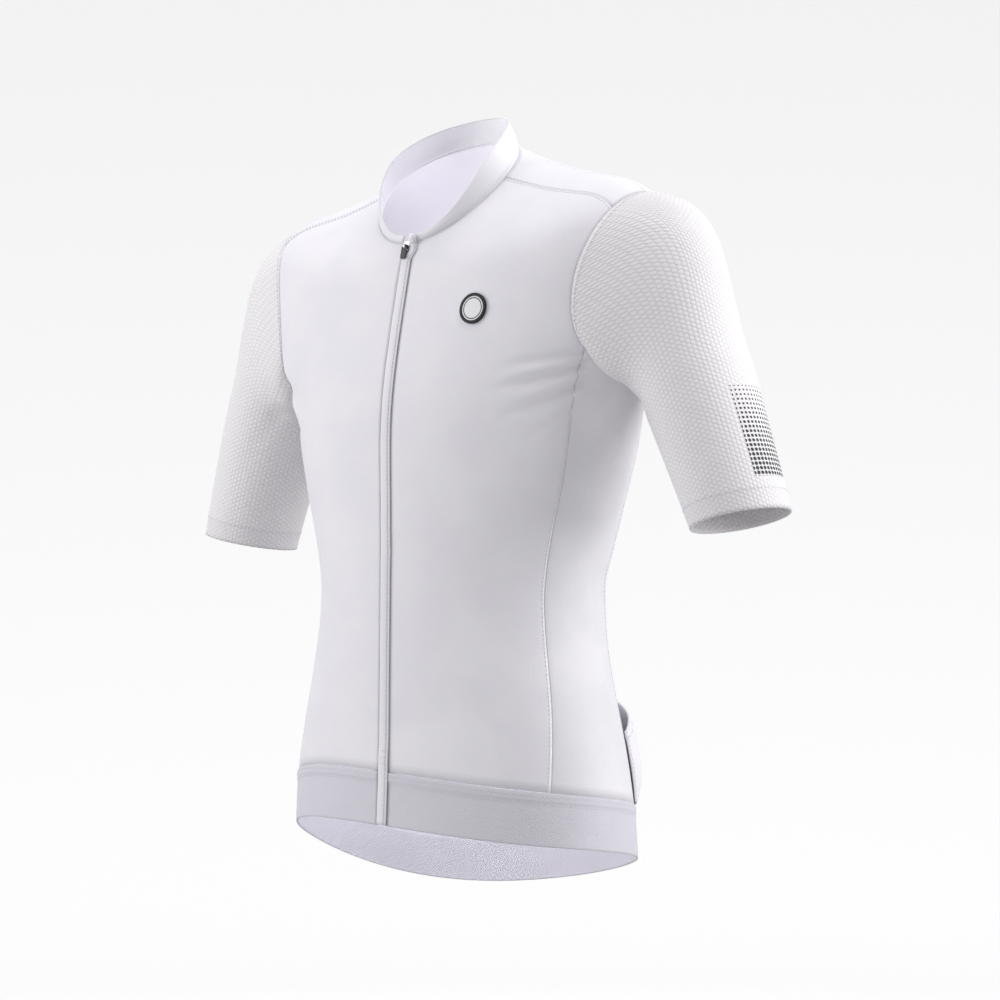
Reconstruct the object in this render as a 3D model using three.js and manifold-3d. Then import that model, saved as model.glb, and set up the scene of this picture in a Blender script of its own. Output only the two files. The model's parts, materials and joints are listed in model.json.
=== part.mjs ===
// A close-fitting short-sleeved cycling jersey, filled out as it is when worn, with nobody in it.
//
// Millimetres, +Z up. The front faces -Y and the wearer's left side is +X. The origin is in the middle of the
// neck opening, level with the place where the shoulder seams meet the collar, because the wearer's neck and
// shoulders carry the garment there.
import * as THREE from "three";
import { mergeVertices } from "three/addons/utils/BufferGeometryUtils.js";
import Module from "manifold-3d";

const { lerp, clamp, smoothstep } = THREE.MathUtils;
const DEGREE = Math.PI / 180;

/** A table of records from the names of its columns and its rows. */
function table(columns, rows) {
  return rows.map((row) => Object.fromEntries(columns.map((column, k) => [column, row[k]])));
}

// Cloth and seams
const WALL = 1.5; // thickness of a cloth wall
const SEAM_INSET = 0.3; // each panel stops this far short of its seam line
const LIFT = 0.35; // clearance under a piece that lies on a panel

// Sections of the torso from the hem to the neck seam. `level` is the distance up the side of the body.
// Each section passes through a point at the centre front, one at the side and one at the centre back.
// `square` is how boxy it is in plan, and `twist` how far it sits down at the left front and the right back, and
// up between them, as it does on someone who stands with one foot forward.
const SECTIONS = table(
  ["name", "level", "sideX", "sideY", "sideZ", "frontY", "frontZ", "backY", "backZ", "square", "twist"],
  [
    ["hem", 0, 180, 27, -605, -81, -583, 140, -638, 2.15, 17],
    ["bandTop", 49, 177, 26, -558, -79, -535, 138, -590, 2.15, 17],
    ["hips", 110, 167, 26, -494, -78, -473, 132, -525, 2.1, 11],
    ["waist", 220, 147, 25, -377, -77, -366, 126, -398, 2.1, 4],
    ["ribs", 312, 168, 29, -284, -77, -285, 139, -290, 2.1, 0],
    ["armpit", 400, 192, 35, -198, -76, -213, 148, -185, 2.15, 0],
    ["armholeMiddle", 482, 222, 35, -118, -66, -148, 143, -98, 2.2, 0],
    ["shoulder", 566, 216, 24, -31, -56, -100, 118, -37, 2.1, 0],
    ["yoke", 644, 142, 17, -11, -51, -77, 90, 11, 2.0, 0],
    ["neck", 712, 71, 8, 2, -47, -60, 60, 43, 2.0, 0],
  ],
);
const BAND_TOP_LEVEL = SECTIONS[1].level;
const NECK_LEVEL = SECTIONS.at(-1).level;

// The armhole is an ellipse in angle round the body and level up it. `turn` runs from the back at 0 over the
// top at 90 to the front at 180 and the armpit at 270 degrees. Its corners are where seams and columns meet it.
const ARMHOLE = {
  angle: -1 * DEGREE,
  halfAngle: 37.5 * DEGREE,
  lean: 5 * DEGREE, // how far its top swings forward
  level: 494,
  halfLevel: 82,
  lowTurn: 216 * DEGREE,
  highTurn: 108 * DEGREE,
};
const HEM_SEAM_ANGLE = 30 * DEGREE; // how far the side seams are from the side at the hem, front and back
const SIDE_SEAM_SWEEP = 7 * DEGREE; // how far the side seams swing towards the side at the waist
const NECK_SEAM_ANGLE = -4 * DEGREE; // where the shoulder seam meets the collar
const NECK_BACK_ANGLE = 38 * DEGREE; // where the last column over the shoulder meets the collar

// Grid of the torso: columns of half the body from centre front to centre back, and rows above the hem band
const COLUMNS = { front: 9, side: 8, back: 9 };
const ROWS = { lower: 10, armhole: 8, yoke: 5 };
const ROW_CROWDING = 1.35; // above 1 the lower rows crowd towards the armpit, where the folds are
const FRONT_EDGE = COLUMNS.front;
const BACK_EDGE = FRONT_EDGE + COLUMNS.side;
const MIDDLE_BACK = BACK_EDGE + COLUMNS.back;
const LAST_COLUMN = 2 * MIDDLE_BACK;
const ARMPIT_ROW = ROWS.lower;
const SHOULDER_ROW = ARMPIT_ROW + ROWS.armhole;
const NECK_ROW = SHOULDER_ROW + ROWS.yoke;

// Soft folds of the torso. Each is a trough from one angle and level to another, with its half width and its
// depth where it starts. Angles past 90 degrees are on the wearer's right.
const TORSO_FOLDS = table(
  ["name", "fromAngle", "fromLevel", "toAngle", "toLevel", "width", "depth"],
  [
    ["leftArmpitUpper", -27, 428, -50, 414, 11, 4],
    ["leftArmpitLower", -22, 412, -46, 380, 12, 4.5],
    ["leftSideSeam", -12, 398, -34, 340, 14, 3],
    ["leftBackUpper", 28, 424, 52, 404, 13, 3.5],
    ["leftBackLower", 20, 404, 44, 352, 15, 4],
    ["rightArmpitUpper", 206, 430, 230, 420, 12, 3.5],
    ["rightArmpitLower", 200, 410, 222, 370, 13, 4.5],
    ["rightBackUpper", 154, 426, 130, 410, 13, 3.5],
    ["rightBackLower", 161, 402, 138, 345, 15, 4],
    ["waistLeft", 8, 232, 48, 246, 17, 3],
    ["waistRight", 176, 226, 136, 238, 18, 3],
  ],
);
const TORSO_FOLD_RADIUS = 150; // turns angles into distances round the torso

// Rings of a sleeve below the armhole, by their middle and radius
// The tilt is how far a ring's outer side is raised out of the level, in degrees.
const SLEEVE_RINGS = table(
  ["name", "x", "y", "z", "radius", "tilt"],
  [
    ["upperArm", 258, 47, -196, 52, 24],
    ["aboveCuff", 296, 50, -297, 46, 14],
    ["cuff", 303, 51, -317, 45, 13],
  ],
);
const ARM_DIRECTION = new THREE.Vector3(0.403, 0.054, -0.914);
const CAP_DIRECTION = new THREE.Vector3(0.95, 0.26, -0.05); // how the cloth leaves the top of the armhole
const CAP_REACH = { low: 0.42, top: 0.5, end: 0.42 }; // how fully the cap curves at its two ends
const CAP_ROWS = 8; // from the armhole to the upper arm
const ARM_ROWS = 6; // from there to the cuff
const CUFF_ROWS = 1;
const CUFF_THICKNESS = 2.2; // the sleeve's hem is turned up and lies double

// Soft folds of the sleeves, each from one turn round the arm and row below the armhole to another
const SLEEVE_FOLDS = table(
  ["side", "fromTurn", "fromRow", "toTurn", "toRow", "width", "depth"],
  [
    [1, 252, 1, 214, 7, 9, 4],
    [1, 266, 2, 236, 9, 9, 3.5],
    [1, 292, 1.5, 330, 8, 10, 4],
    [-1, 232, 1, 196, 5, 9, 3.5],
    [-1, 250, 1.5, 214, 8, 9, 4.5],
    [-1, 288, 1, 324, 9, 10, 4],
  ],
);
const SLEEVE_FOLD_RADIUS = 52; // turns angles into distances round the arm
const SLEEVE_FOLD_ROW = 14; // and rows into distances along it

// Hem band, whose top strip stands proud, and the collar
const BAND_ROWS = table(
  ["level", "lift"],
  [
    [0, 0.3],
    [20, 0.3],
    [40, 0.3],
    [41.5, 0.9],
    [BAND_TOP_LEVEL, 0.9],
  ],
);
const BAND_THICKNESS = 1.8;
const COLLAR = { back: 23, front: 7, rows: 3, leanIn: 8, leanForward: 12, bulge: 1.2 };

// The three pockets on the back, with the level of their open tops at both ends
const POCKETS = table(
  ["name", "fromAngle", "toAngle", "fromLevel", "toLevel", "bulge"],
  [
    ["pocket_left", 25, 65, 112, 166, 14],
    ["pocket_centre", 68, 112, 172, 172, 13],
    ["pocket_right", 115, 155, 166, 112, 14],
  ],
);
const POCKET_FOOT = 2; // the pockets start this far above the hem band
const POCKET_LIFT = 1; // clearance under their sewn edges
const POCKET_COLUMNS = 8;
const POCKET_ROWS = 5;

// Zip. Distances across it are from the centre front, positive to the wearer's left, and distances in and out
// are from the face of the torso.
const ZIP_GAP = 10; // width between the two front panels
const TAPE = { inner: 2.7, outer: 13, out: -2.3, thickness: 1, foot: 4, top: 706 };
const COIL = { half: 2.2, out: 0.3, thickness: 2.6, foot: 6, top: 706 };
const FLAP = { free: -3.5, sewn: 7, thickness: 1.2, foot: 1, top: 718.5 };
const FLAP_TURNED = { free: 4.3, sewn: 11.5, from: 645, to: 685 }; // near the neck it lies clear of the zip
const FLAP_OUT = { onBand: 2.5, bandEnd: 60, frontStart: 75, onFront: 1.85, frontEnd: 698, onCollar: 3.4 };
const ZIP_ROW = 20; // about how far apart the rows of the zip's strips are
const SLIDER = { level: 698, width: 7, height: 9, out: 0.6, thickness: 1.8, round: 1.6 };
const ARCH = { width: 2, radius: 1.9, hole: 1, hinge: 1.5 }; // the loop that holds the pull tab
const PULL = { width: 6, length: 12, thickness: 1.4, arm: 0.9, slot: 3, slotLength: 3.6, pin: 0.65, round: 1.4 };

// Chest badge
const BADGE = { angle: -69 * DEGREE, level: 509, radius: 14, rim: 2.2, middle: 1.7, rimFrom: 0.8, cells: 10 };

/** A natural cubic spline through `values` at `knots`, as a function. */
function splineThrough(knots, values) {
  const last = knots.length - 1;
  const gap = knots.slice(1).map((knot, k) => knot - knots[k]);
  const slope = gap.map((g, k) => (values[k + 1] - values[k]) / g);
  const upper = new Array(last).fill(0);
  const bend = new Array(last + 1).fill(0);
  for (let k = 1; k < last; k++) {
    const pivot = 2 * (gap[k - 1] + gap[k]) - gap[k - 1] * upper[k - 1];
    upper[k] = gap[k] / pivot;
    bend[k] = (6 * (slope[k] - slope[k - 1]) - gap[k - 1] * bend[k - 1]) / pivot;
  }
  for (let k = last - 1; k > 0; k--) bend[k] -= upper[k] * bend[k + 1];
  return (at) => {
    let k = 0;
    while (k < last - 1 && at > knots[k + 1]) k++;
    const right = (at - knots[k]) / gap[k];
    const left = 1 - right;
    const curve = (left ** 3 - left) * bend[k] + (right ** 3 - right) * bend[k + 1];
    return left * values[k] + right * values[k + 1] + (curve * gap[k] ** 2) / 6;
  };
}

const LEVELS = SECTIONS.map((section) => section.level);
const sectionAt = Object.fromEntries(
  ["sideX", "sideY", "sideZ", "frontY", "frontZ", "backY", "backZ", "square", "twist"].map((column) => [
    column,
    splineThrough(LEVELS, SECTIONS.map((section) => section[column])),
  ]),
);

/** Passes smoothly through the front, side and back values as `across` goes from -1 over 0 to 1. */
function throughThree(front, side, back, across) {
  return side + ((back - front) / 2) * across + ((back + front) / 2 - side) * across ** 2;
}

/** How deep the folds are at a place. Each is a trough along a straight line that fades towards its end. */
function foldDepth(folds, u, v) {
  let depth = 0;
  for (const fold of folds) {
    const [du, dv] = [fold.toU - fold.fromU, fold.toV - fold.fromV];
    const along = clamp(((u - fold.fromU) * du + (v - fold.fromV) * dv) / (du * du + dv * dv), 0, 1);
    const away = Math.hypot(u - fold.fromU - along * du, v - fold.fromV - along * dv);
    depth += fold.depth * (1 - along ** 2) * Math.exp(-((away / fold.width) ** 2));
  }
  return depth;
}

const torsoFolds = TORSO_FOLDS.map((fold) => ({
  ...fold,
  fromU: fold.fromAngle * DEGREE * TORSO_FOLD_RADIUS,
  fromV: fold.fromLevel,
  toU: fold.toAngle * DEGREE * TORSO_FOLD_RADIUS,
  toV: fold.toLevel,
}));

/** A power that keeps its sign. */
const signedPower = (value, power) => Math.sign(value) * Math.abs(value) ** power;

/** A point of the torso's outer face. The angle is -90 degrees at the front, 0 at the wearer's left, 90 behind. */
function torsoPoint(angle, level) {
  const at = (column) => sectionAt[column](level);
  const power = 2 / at("square");
  const out = signedPower(Math.cos(angle), power);
  const back = signedPower(Math.sin(angle), power);
  const depth = foldDepth(torsoFolds, angle * TORSO_FOLD_RADIUS, level);
  return new THREE.Vector3(
    at("sideX") * out - depth * Math.cos(angle),
    throughThree(at("frontY"), at("sideY"), at("backY"), back) - depth * Math.sin(angle),
    throughThree(at("frontZ"), at("sideZ"), at("backZ"), back) + at("twist") * out * back,
  );
}

/** A point of the collar at an angle round the neck, `share` of the way up from the neck seam. */
function collarPoint(angle, share) {
  const [out, back] = [Math.cos(angle), Math.sin(angle)];
  const height = lerp(COLLAR.front, COLLAR.back, smoothstep(back, -1, 0.1));
  const bulge = COLLAR.bulge * Math.sin(Math.PI * share);
  const point = torsoPoint(angle, NECK_LEVEL);
  point.x += (bulge - COLLAR.leanIn * share) * out;
  point.y += bulge * back - COLLAR.leanForward * out ** 2 * share;
  point.z += height * share;
  return point;
}

/** A point of the body at an angle and level, on the torso or above it on the collar. */
function bodyPoint(angle, level) {
  return level <= NECK_LEVEL ? torsoPoint(angle, level) : collarPoint(angle, (level - NECK_LEVEL) / COLLAR.front);
}

/** The angle of a place that is some distance to the wearer's left of the centre front. */
function frontAngle(x, level) {
  const share = Math.abs(x) / sectionAt.sideX(level);
  const away = Math.acos(share ** (sectionAt.square(level) / 2));
  return x < 0 ? away - Math.PI : -away;
}

/** Where the armhole runs at a turn round it. */
function armholeAt(turn) {
  return {
    angle: ARMHOLE.angle + ARMHOLE.halfAngle * Math.cos(turn) - ARMHOLE.lean * Math.sin(turn),
    level: ARMHOLE.level + ARMHOLE.halfLevel * Math.sin(turn),
  };
}

/** The level of a row, and the angles of the two lines of seam or armhole edge that bound the side on it. */
function rowAt(row) {
  const edgesAt = (turn) => ({
    level: armholeAt(turn).level,
    front: armholeAt(turn).angle,
    back: armholeAt(Math.PI - turn).angle,
  });
  if (row <= ARMPIT_ROW) {
    const t = 1 - (1 - row / ARMPIT_ROW) ** ROW_CROWDING;
    const low = edgesAt(ARMHOLE.lowTurn);
    const swing = SIDE_SEAM_SWEEP * Math.sin(Math.PI * t);
    return {
      level: lerp(BAND_TOP_LEVEL, low.level, t),
      front: lerp(-HEM_SEAM_ANGLE, low.front, t) + swing,
      back: lerp(HEM_SEAM_ANGLE, low.back, t) - swing,
    };
  }
  if (row <= SHOULDER_ROW) {
    return edgesAt(lerp(ARMHOLE.lowTurn, ARMHOLE.highTurn, (row - ARMPIT_ROW) / ROWS.armhole));
  }
  const t = (row - SHOULDER_ROW) / ROWS.yoke;
  const high = edgesAt(ARMHOLE.highTurn);
  return {
    level: lerp(high.level, NECK_LEVEL, t),
    front: lerp(high.front, NECK_SEAM_ANGLE, t),
    back: lerp(high.back, NECK_BACK_ANGLE, t),
  };
}

/** How a side column lies between the two edges of the side, and how far the armhole bows it up or down. */
function sideColumn(share, corner, direction) {
  const turn = lerp(corner, direction * Math.PI - corner, share);
  const spread = Math.cos(corner);
  return {
    across: (Math.cos(turn) - spread) / (-2 * spread),
    bow: ARMHOLE.halfLevel * (Math.sin(turn) - Math.sin(corner)),
  };
}

/** Angle and level of a grid point of half the torso. */
function gridPlace(column, row) {
  const { level, front, back } = rowAt(row);
  const zipEdge = frontAngle(ZIP_GAP / 2, level);
  if (column <= FRONT_EDGE) return { angle: lerp(zipEdge, front, column / FRONT_EDGE), level };
  if (column >= BACK_EDGE) return { angle: lerp(back, Math.PI / 2, (column - BACK_EDGE) / COLUMNS.back), level };
  const share = (column - FRONT_EDGE) / COLUMNS.side;
  const below = row <= ARMPIT_ROW;
  const { across, bow } = below
    ? sideColumn(share, ARMHOLE.lowTurn, 3)
    : sideColumn(share, ARMHOLE.highTurn, 1);
  const fade = below ? (row / ARMPIT_ROW) ** 3 : (1 - (row - SHOULDER_ROW) / ROWS.yoke) ** 2;
  return { angle: lerp(front, back, across), level: level + bow * fade };
}

// Every point of cloth. Panels that meet along a seam share the points on it.
const points = [];

/**
 * A grid of points, as a function from column and row to a point's number. `place` gives a new point, or the
 * number of one that exists.
 */
function makeGrid(columns, rows, place) {
  const numbers = [];
  for (let row = 0; row <= rows; row++)
    for (let column = 0; column <= columns; column++) {
      const spot = place(column, row);
      numbers.push(typeof spot === "number" ? spot : points.push(spot) - 1);
    }
  return (column, row) => numbers[row * (columns + 1) + column];
}

/** The quads of a grid between two columns and two rows, facing out where columns run to the right and rows up. */
function quadsBetween(grid, [firstColumn, lastColumn], [firstRow, lastRow], flipped = false) {
  const quads = [];
  for (let row = firstRow; row < lastRow; row++)
    for (let column = firstColumn; column < lastColumn; column++) {
      const quad = [
        grid(column, row),
        grid(column + 1, row),
        grid(column + 1, row + 1),
        grid(column, row + 1),
      ];
      quads.push(flipped ? quad.reverse() : quad);
    }
  return quads;
}

/** Normals of the points of some quads, each the mean of the faces round it. */
function normalsOf(quads) {
  const normals = new Map(quads.flat().map((number) => [number, new THREE.Vector3()]));
  const diagonal = new THREE.Vector3();
  const other = new THREE.Vector3();
  for (const quad of quads) {
    const [a, b, c, d] = quad.map((number) => points[number]);
    const face = diagonal.subVectors(c, a).cross(other.subVectors(d, b)).normalize();
    for (const number of quad) normals.get(number).add(face);
  }
  for (const normal of normals.values()) normal.normalize();
  return normals;
}

/** Edges that belong to one quad only, in the direction in which that quad runs along them. */
function openEdges(quads) {
  const edges = new Map();
  for (const quad of quads)
    quad.forEach((from, k) => {
      const to = quad[(k + 1) % 4];
      if (!edges.delete(`${to},${from}`)) edges.set(`${from},${to}`, [from, to]);
    });
  return [...edges.values()];
}

/** A closed body from points and triangles. */
function solidFrom(vertices, faces) {
  const geometry = new THREE.BufferGeometry().setFromPoints(vertices);
  geometry.setIndex(faces.flat());
  geometry.computeVertexNormals();
  return geometry;
}

/**
 * A closed cloth wall over some quads. The outer face is `out` along the normals, the inner face is `thickness`
 * below it, and both are numbers or functions of a point's number. Open edges draw back by `inset`.
 */
function clothWall(quads, { normals = normalsOf(quads), out = 0, thickness = WALL, inset = SEAM_INSET } = {}) {
  const outAt = typeof out === "function" ? out : () => out;
  const thicknessAt = typeof thickness === "function" ? thickness : () => thickness;
  const rim = openEdges(quads);
  const drawnTo = new Map(rim.flat().map((number) => [number, new THREE.Vector3()]));
  for (const quad of quads) {
    const middle = quad.reduce((sum, number) => sum.add(points[number]), new THREE.Vector3()).divideScalar(4);
    for (const number of quad) drawnTo.get(number)?.add(middle).sub(points[number]);
  }
  const numbers = [...new Set(quads.flat())];
  const outer = numbers.map((number) => {
    const normal = normals.get(number);
    const point = points[number].clone().addScaledVector(normal, outAt(number));
    const inwards = drawnTo.get(number);
    return inwards ? point.addScaledVector(inwards.projectOnPlane(normal).normalize(), inset) : point;
  });
  const inner = numbers.map((number, k) =>
    outer[k].clone().addScaledVector(normals.get(number), -thicknessAt(number)),
  );
  const place = new Map(numbers.map((number, k) => [number, k]));
  const size = numbers.length;
  const faces = [];
  for (const quad of quads) {
    const [a, b, c, d] = quad.map((number) => place.get(number));
    faces.push([a, b, c], [a, c, d], [c + size, b + size, a + size], [d + size, c + size, a + size]);
  }
  for (const [from, to] of rim.map((edge) => edge.map((number) => place.get(number))))
    faces.push([to, from, from + size], [to, from + size, to + size]);
  return solidFrom([...outer, ...inner], faces);
}

const jersey = new THREE.Group();
jersey.name = "cycling_jersey";

/** Adds a named piece with its finish to a group. */
function addPiece(name, geometry, material, group = jersey) {
  const mesh = new THREE.Mesh(geometry, material);
  mesh.name = name;
  group.add(mesh);
}

const finish = {
  body: new THREE.MeshStandardMaterial({ color: 0xe6e4ea, roughness: 0.75 }),
  mesh: new THREE.MeshStandardMaterial({ color: 0xe4e0e4, roughness: 0.85 }),
  band: new THREE.MeshStandardMaterial({ color: 0xdad7e0, roughness: 0.8 }),
  tape: new THREE.MeshStandardMaterial({ color: 0xb9b6c0, roughness: 0.85 }),
  coil: new THREE.MeshStandardMaterial({ color: 0x9d9aa6, roughness: 0.5 }),
  metal: new THREE.MeshStandardMaterial({ color: 0xc9c9cc, roughness: 0.25, metalness: 1 }),
  pull: new THREE.MeshStandardMaterial({ color: 0x2c2c31, roughness: 0.45 }),
  badge: new THREE.MeshStandardMaterial({ color: 0x18181b, roughness: 0.4 }),
};

// Torso, from the centre front round the wearer's left to the centre back and on to the centre front
const torso = makeGrid(LAST_COLUMN, NECK_ROW, (column, row) => {
  const { angle, level } = gridPlace(Math.min(column, LAST_COLUMN - column), row);
  return torsoPoint(column > MIDDLE_BACK ? Math.PI - angle : angle, level);
});
const mirrored = ([first, last]) => [LAST_COLUMN - last, LAST_COLUMN - first];
const frontSpan = [0, FRONT_EDGE];
const sideSpan = [FRONT_EDGE, BACK_EDGE];
const allRows = [0, NECK_ROW];
const belowArmpit = [0, ARMPIT_ROW];
const aboveArmhole = [SHOULDER_ROW, NECK_ROW];
const panels = {
  front_left: quadsBetween(torso, frontSpan, allRows),
  front_right: quadsBetween(torso, mirrored(frontSpan), allRows),
  side_left: quadsBetween(torso, sideSpan, belowArmpit),
  side_right: quadsBetween(torso, mirrored(sideSpan), belowArmpit),
  back: [
    ...quadsBetween(torso, [BACK_EDGE, LAST_COLUMN - BACK_EDGE], allRows),
    ...quadsBetween(torso, sideSpan, aboveArmhole),
    ...quadsBetween(torso, mirrored(sideSpan), aboveArmhole),
  ],
};

/** Numbers of the torso points round an armhole, from its low front corner over the top and back below. */
function armholeLoop(side) {
  const steps = [];
  for (let k = 0; k < ROWS.armhole; k++) steps.push([FRONT_EDGE, ARMPIT_ROW + k]);
  for (let k = 0; k < COLUMNS.side; k++) steps.push([FRONT_EDGE + k, SHOULDER_ROW]);
  for (let k = 0; k < ROWS.armhole; k++) steps.push([BACK_EDGE, SHOULDER_ROW - k]);
  for (let k = 0; k < COLUMNS.side; k++) steps.push([BACK_EDGE - k, ARMPIT_ROW]);
  return steps.map(([column, row]) => torso(side > 0 ? column : LAST_COLUMN - column, row));
}

/** A vector of the wearer's left side, or its mirror image for the right side. */
const onSide = (side, vector) => new THREE.Vector3(side * vector.x, vector.y, vector.z);

const sleeveRing = Object.fromEntries(
  ["x", "y", "z", "radius", "tilt"].map((column) => [
    column,
    splineThrough([0, 1 - CUFF_ROWS / (ARM_ROWS + CUFF_ROWS), 1], SLEEVE_RINGS.map((ring) => ring[column])),
  ]),
);

/** A point of the tube of a sleeve, `share` of the way from the upper arm to the cuff. */
function sleeveTubePoint(side, turn, share) {
  const tilt = sleeveRing.tilt(share) * DEGREE;
  const outwards = new THREE.Vector3(Math.cos(tilt), 0, Math.sin(tilt));
  const backwards = new THREE.Vector3(0, 1, 0);
  const point = new THREE.Vector3(sleeveRing.x(share), sleeveRing.y(share), sleeveRing.z(share));
  point.addScaledVector(backwards, sleeveRing.radius(share) * Math.cos(turn));
  point.addScaledVector(outwards, sleeveRing.radius(share) * Math.sin(turn));
  return onSide(side, point);
}

/** A point of the cap of a sleeve, on a curve from the armhole that ends along the arm. */
function sleeveCapPoint(side, start, turn, share) {
  const end = sleeveTubePoint(side, turn, 0);
  const length = start.distanceTo(end);
  const topness = smoothstep(Math.sin(turn), -1.3, 0.8);
  const leave = onSide(side, ARM_DIRECTION).lerp(onSide(side, CAP_DIRECTION), topness).normalize();
  const curve = new THREE.CubicBezierCurve3(
    start,
    start.clone().addScaledVector(leave, length * lerp(CAP_REACH.low, CAP_REACH.top, topness)),
    end.clone().addScaledVector(onSide(side, ARM_DIRECTION), -length * CAP_REACH.end),
    end,
  );
  return curve.getPoint(share);
}

const SLEEVE_ROWS = CAP_ROWS + ARM_ROWS + CUFF_ROWS;
for (const [name, side] of [
  ["sleeve_left", 1],
  ["sleeve_right", -1],
]) {
  const loop = armholeLoop(side);
  const folds = SLEEVE_FOLDS.filter((fold) => fold.side === side).map((fold) => ({
    ...fold,
    fromU: fold.fromTurn * DEGREE * SLEEVE_FOLD_RADIUS,
    fromV: fold.fromRow * SLEEVE_FOLD_ROW,
    toU: fold.toTurn * DEGREE * SLEEVE_FOLD_RADIUS,
    toV: fold.toRow * SLEEVE_FOLD_ROW,
  }));
  const ringNumbers = [];
  const sleeve = makeGrid(loop.length, SLEEVE_ROWS, (column, row) => {
    if (row === 0) return loop[column % loop.length];
    if (column === loop.length) return ringNumbers[row];
    const turn = ARMHOLE.lowTurn - (column / loop.length) * 2 * Math.PI;
    const point =
      row < CAP_ROWS
        ? sleeveCapPoint(side, points[loop[column]], turn, row / CAP_ROWS)
        : sleeveTubePoint(side, turn, (row - CAP_ROWS) / (SLEEVE_ROWS - CAP_ROWS));
    const wrapped = turn < 0 ? turn + 2 * Math.PI : turn;
    const depth = foldDepth(folds, wrapped * SLEEVE_FOLD_RADIUS, row * SLEEVE_FOLD_ROW);
    const outwards = onSide(side, new THREE.Vector3(Math.sin(turn), Math.cos(turn), 0));
    point.addScaledVector(outwards, -depth);
    if (column === 0) ringNumbers[row] = points.length;
    return point;
  });
  panels[name] = quadsBetween(sleeve, [0, loop.length], [0, SLEEVE_ROWS], side > 0);
  panels[name].cuff = new Set();
  for (let row = SLEEVE_ROWS - CUFF_ROWS; row <= SLEEVE_ROWS; row++)
    for (let column = 0; column < loop.length; column++) panels[name].cuff.add(sleeve(column, row));
}

// Hem band below the torso's first row, and collar above its last
const bandLift = new Map();
const band = makeGrid(LAST_COLUMN, BAND_ROWS.length - 1, (column, row) => {
  const { level, lift } = BAND_ROWS[row];
  const number = level === BAND_TOP_LEVEL ? torso(column, 0) : points.length;
  bandLift.set(number, lift);
  if (level === BAND_TOP_LEVEL) return number;
  const { angle } = gridPlace(Math.min(column, LAST_COLUMN - column), 0);
  return torsoPoint(column > MIDDLE_BACK ? Math.PI - angle : angle, level);
});
panels.hem_band = quadsBetween(band, [0, LAST_COLUMN], [0, BAND_ROWS.length - 1]);

const collar = makeGrid(LAST_COLUMN, COLLAR.rows, (column, row) => {
  if (row === 0) return torso(column, NECK_ROW);
  const { angle } = gridPlace(Math.min(column, LAST_COLUMN - column), NECK_ROW);
  return collarPoint(column > MIDDLE_BACK ? Math.PI - angle : angle, row / COLLAR.rows);
});
panels.collar = quadsBetween(collar, [0, LAST_COLUMN], [0, COLLAR.rows]);

const clothNormals = normalsOf(Object.values(panels).flat());
for (const name of ["front_left", "front_right", "side_left", "side_right", "back", "collar"])
  addPiece(name, clothWall(panels[name], { normals: clothNormals }), finish.body);
for (const name of ["sleeve_left", "sleeve_right"]) {
  const thickness = (number) => (panels[name].cuff.has(number) ? CUFF_THICKNESS : WALL);
  addPiece(name, clothWall(panels[name], { normals: clothNormals, thickness }), finish.mesh);
}
const bandShape = { normals: clothNormals, out: (number) => bandLift.get(number), thickness: BAND_THICKNESS };
addPiece("hem_band", clothWall(panels.hem_band, bandShape), finish.band);

// Pockets, sewn down along both sides and the bottom and standing open at the top
for (const { name, fromAngle, toAngle, fromLevel, toLevel, bulge } of POCKETS) {
  const lifts = new Map();
  const pocket = makeGrid(POCKET_COLUMNS, POCKET_ROWS, (column, row) => {
    const [across, up] = [column / POCKET_COLUMNS, row / POCKET_ROWS];
    const level = lerp(BAND_TOP_LEVEL + POCKET_FOOT, lerp(fromLevel, toLevel, across), up);
    const fullness = Math.sin(Math.PI * across) ** 0.8 * Math.sin(Math.PI * lerp(0, 0.72, up) ** 0.8);
    lifts.set(points.length, bulge * fullness);
    return torsoPoint(lerp(fromAngle, toAngle, across) * DEGREE, level);
  });
  const quads = quadsBetween(pocket, [0, POCKET_COLUMNS], [0, POCKET_ROWS]);
  addPiece(name, clothWall(quads, { out: (number) => WALL + POCKET_LIFT + lifts.get(number) }), finish.body);
}

/** A strip along the zip. `edges` gives the distances across of its columns at a level. */
function zipStrip({ foot, top, thickness }, edges, out) {
  const rows = Math.round((top - foot) / ZIP_ROW);
  const levels = new Map();
  const strip = makeGrid(edges(foot).length - 1, rows, (column, row) => {
    const level = lerp(foot, top, row / rows);
    levels.set(points.length, level);
    return bodyPoint(frontAngle(edges(level)[column], Math.min(level, NECK_LEVEL)), level);
  });
  const quads = quadsBetween(strip, [0, edges(foot).length - 1], [0, rows]);
  return clothWall(quads, { out: (number) => out(levels.get(number)), thickness, inset: 0 });
}

const tapeOut = () => TAPE.out;
addPiece("zip_tape_left", zipStrip(TAPE, () => [TAPE.inner, TAPE.outer], tapeOut), finish.tape);
addPiece("zip_tape_right", zipStrip(TAPE, () => [-TAPE.outer, -TAPE.inner], tapeOut), finish.tape);
addPiece("zip_coil", zipStrip(COIL, () => [-COIL.half, 0, COIL.half], () => COIL.out), finish.coil);

/** Distances across of the flap's columns at a level. */
function flapEdges(level) {
  const turned = smoothstep(level, FLAP_TURNED.from, FLAP_TURNED.to);
  const free = lerp(FLAP.free, FLAP_TURNED.free, turned);
  const sewn = lerp(FLAP.sewn, FLAP_TURNED.sewn, turned);
  return [free, (free + sewn) / 2, sewn];
}
const flapOut = (level) =>
  lerp(FLAP_OUT.onBand, FLAP_OUT.onFront, smoothstep(level, FLAP_OUT.bandEnd, FLAP_OUT.frontStart)) +
  (FLAP_OUT.onCollar - FLAP_OUT.onFront) * smoothstep(level, FLAP_OUT.frontEnd, NECK_LEVEL);
addPiece("zip_flap", zipStrip(FLAP, flapEdges, flapOut), finish.body);

const wasm = await Module();
wasm.setup();

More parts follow.
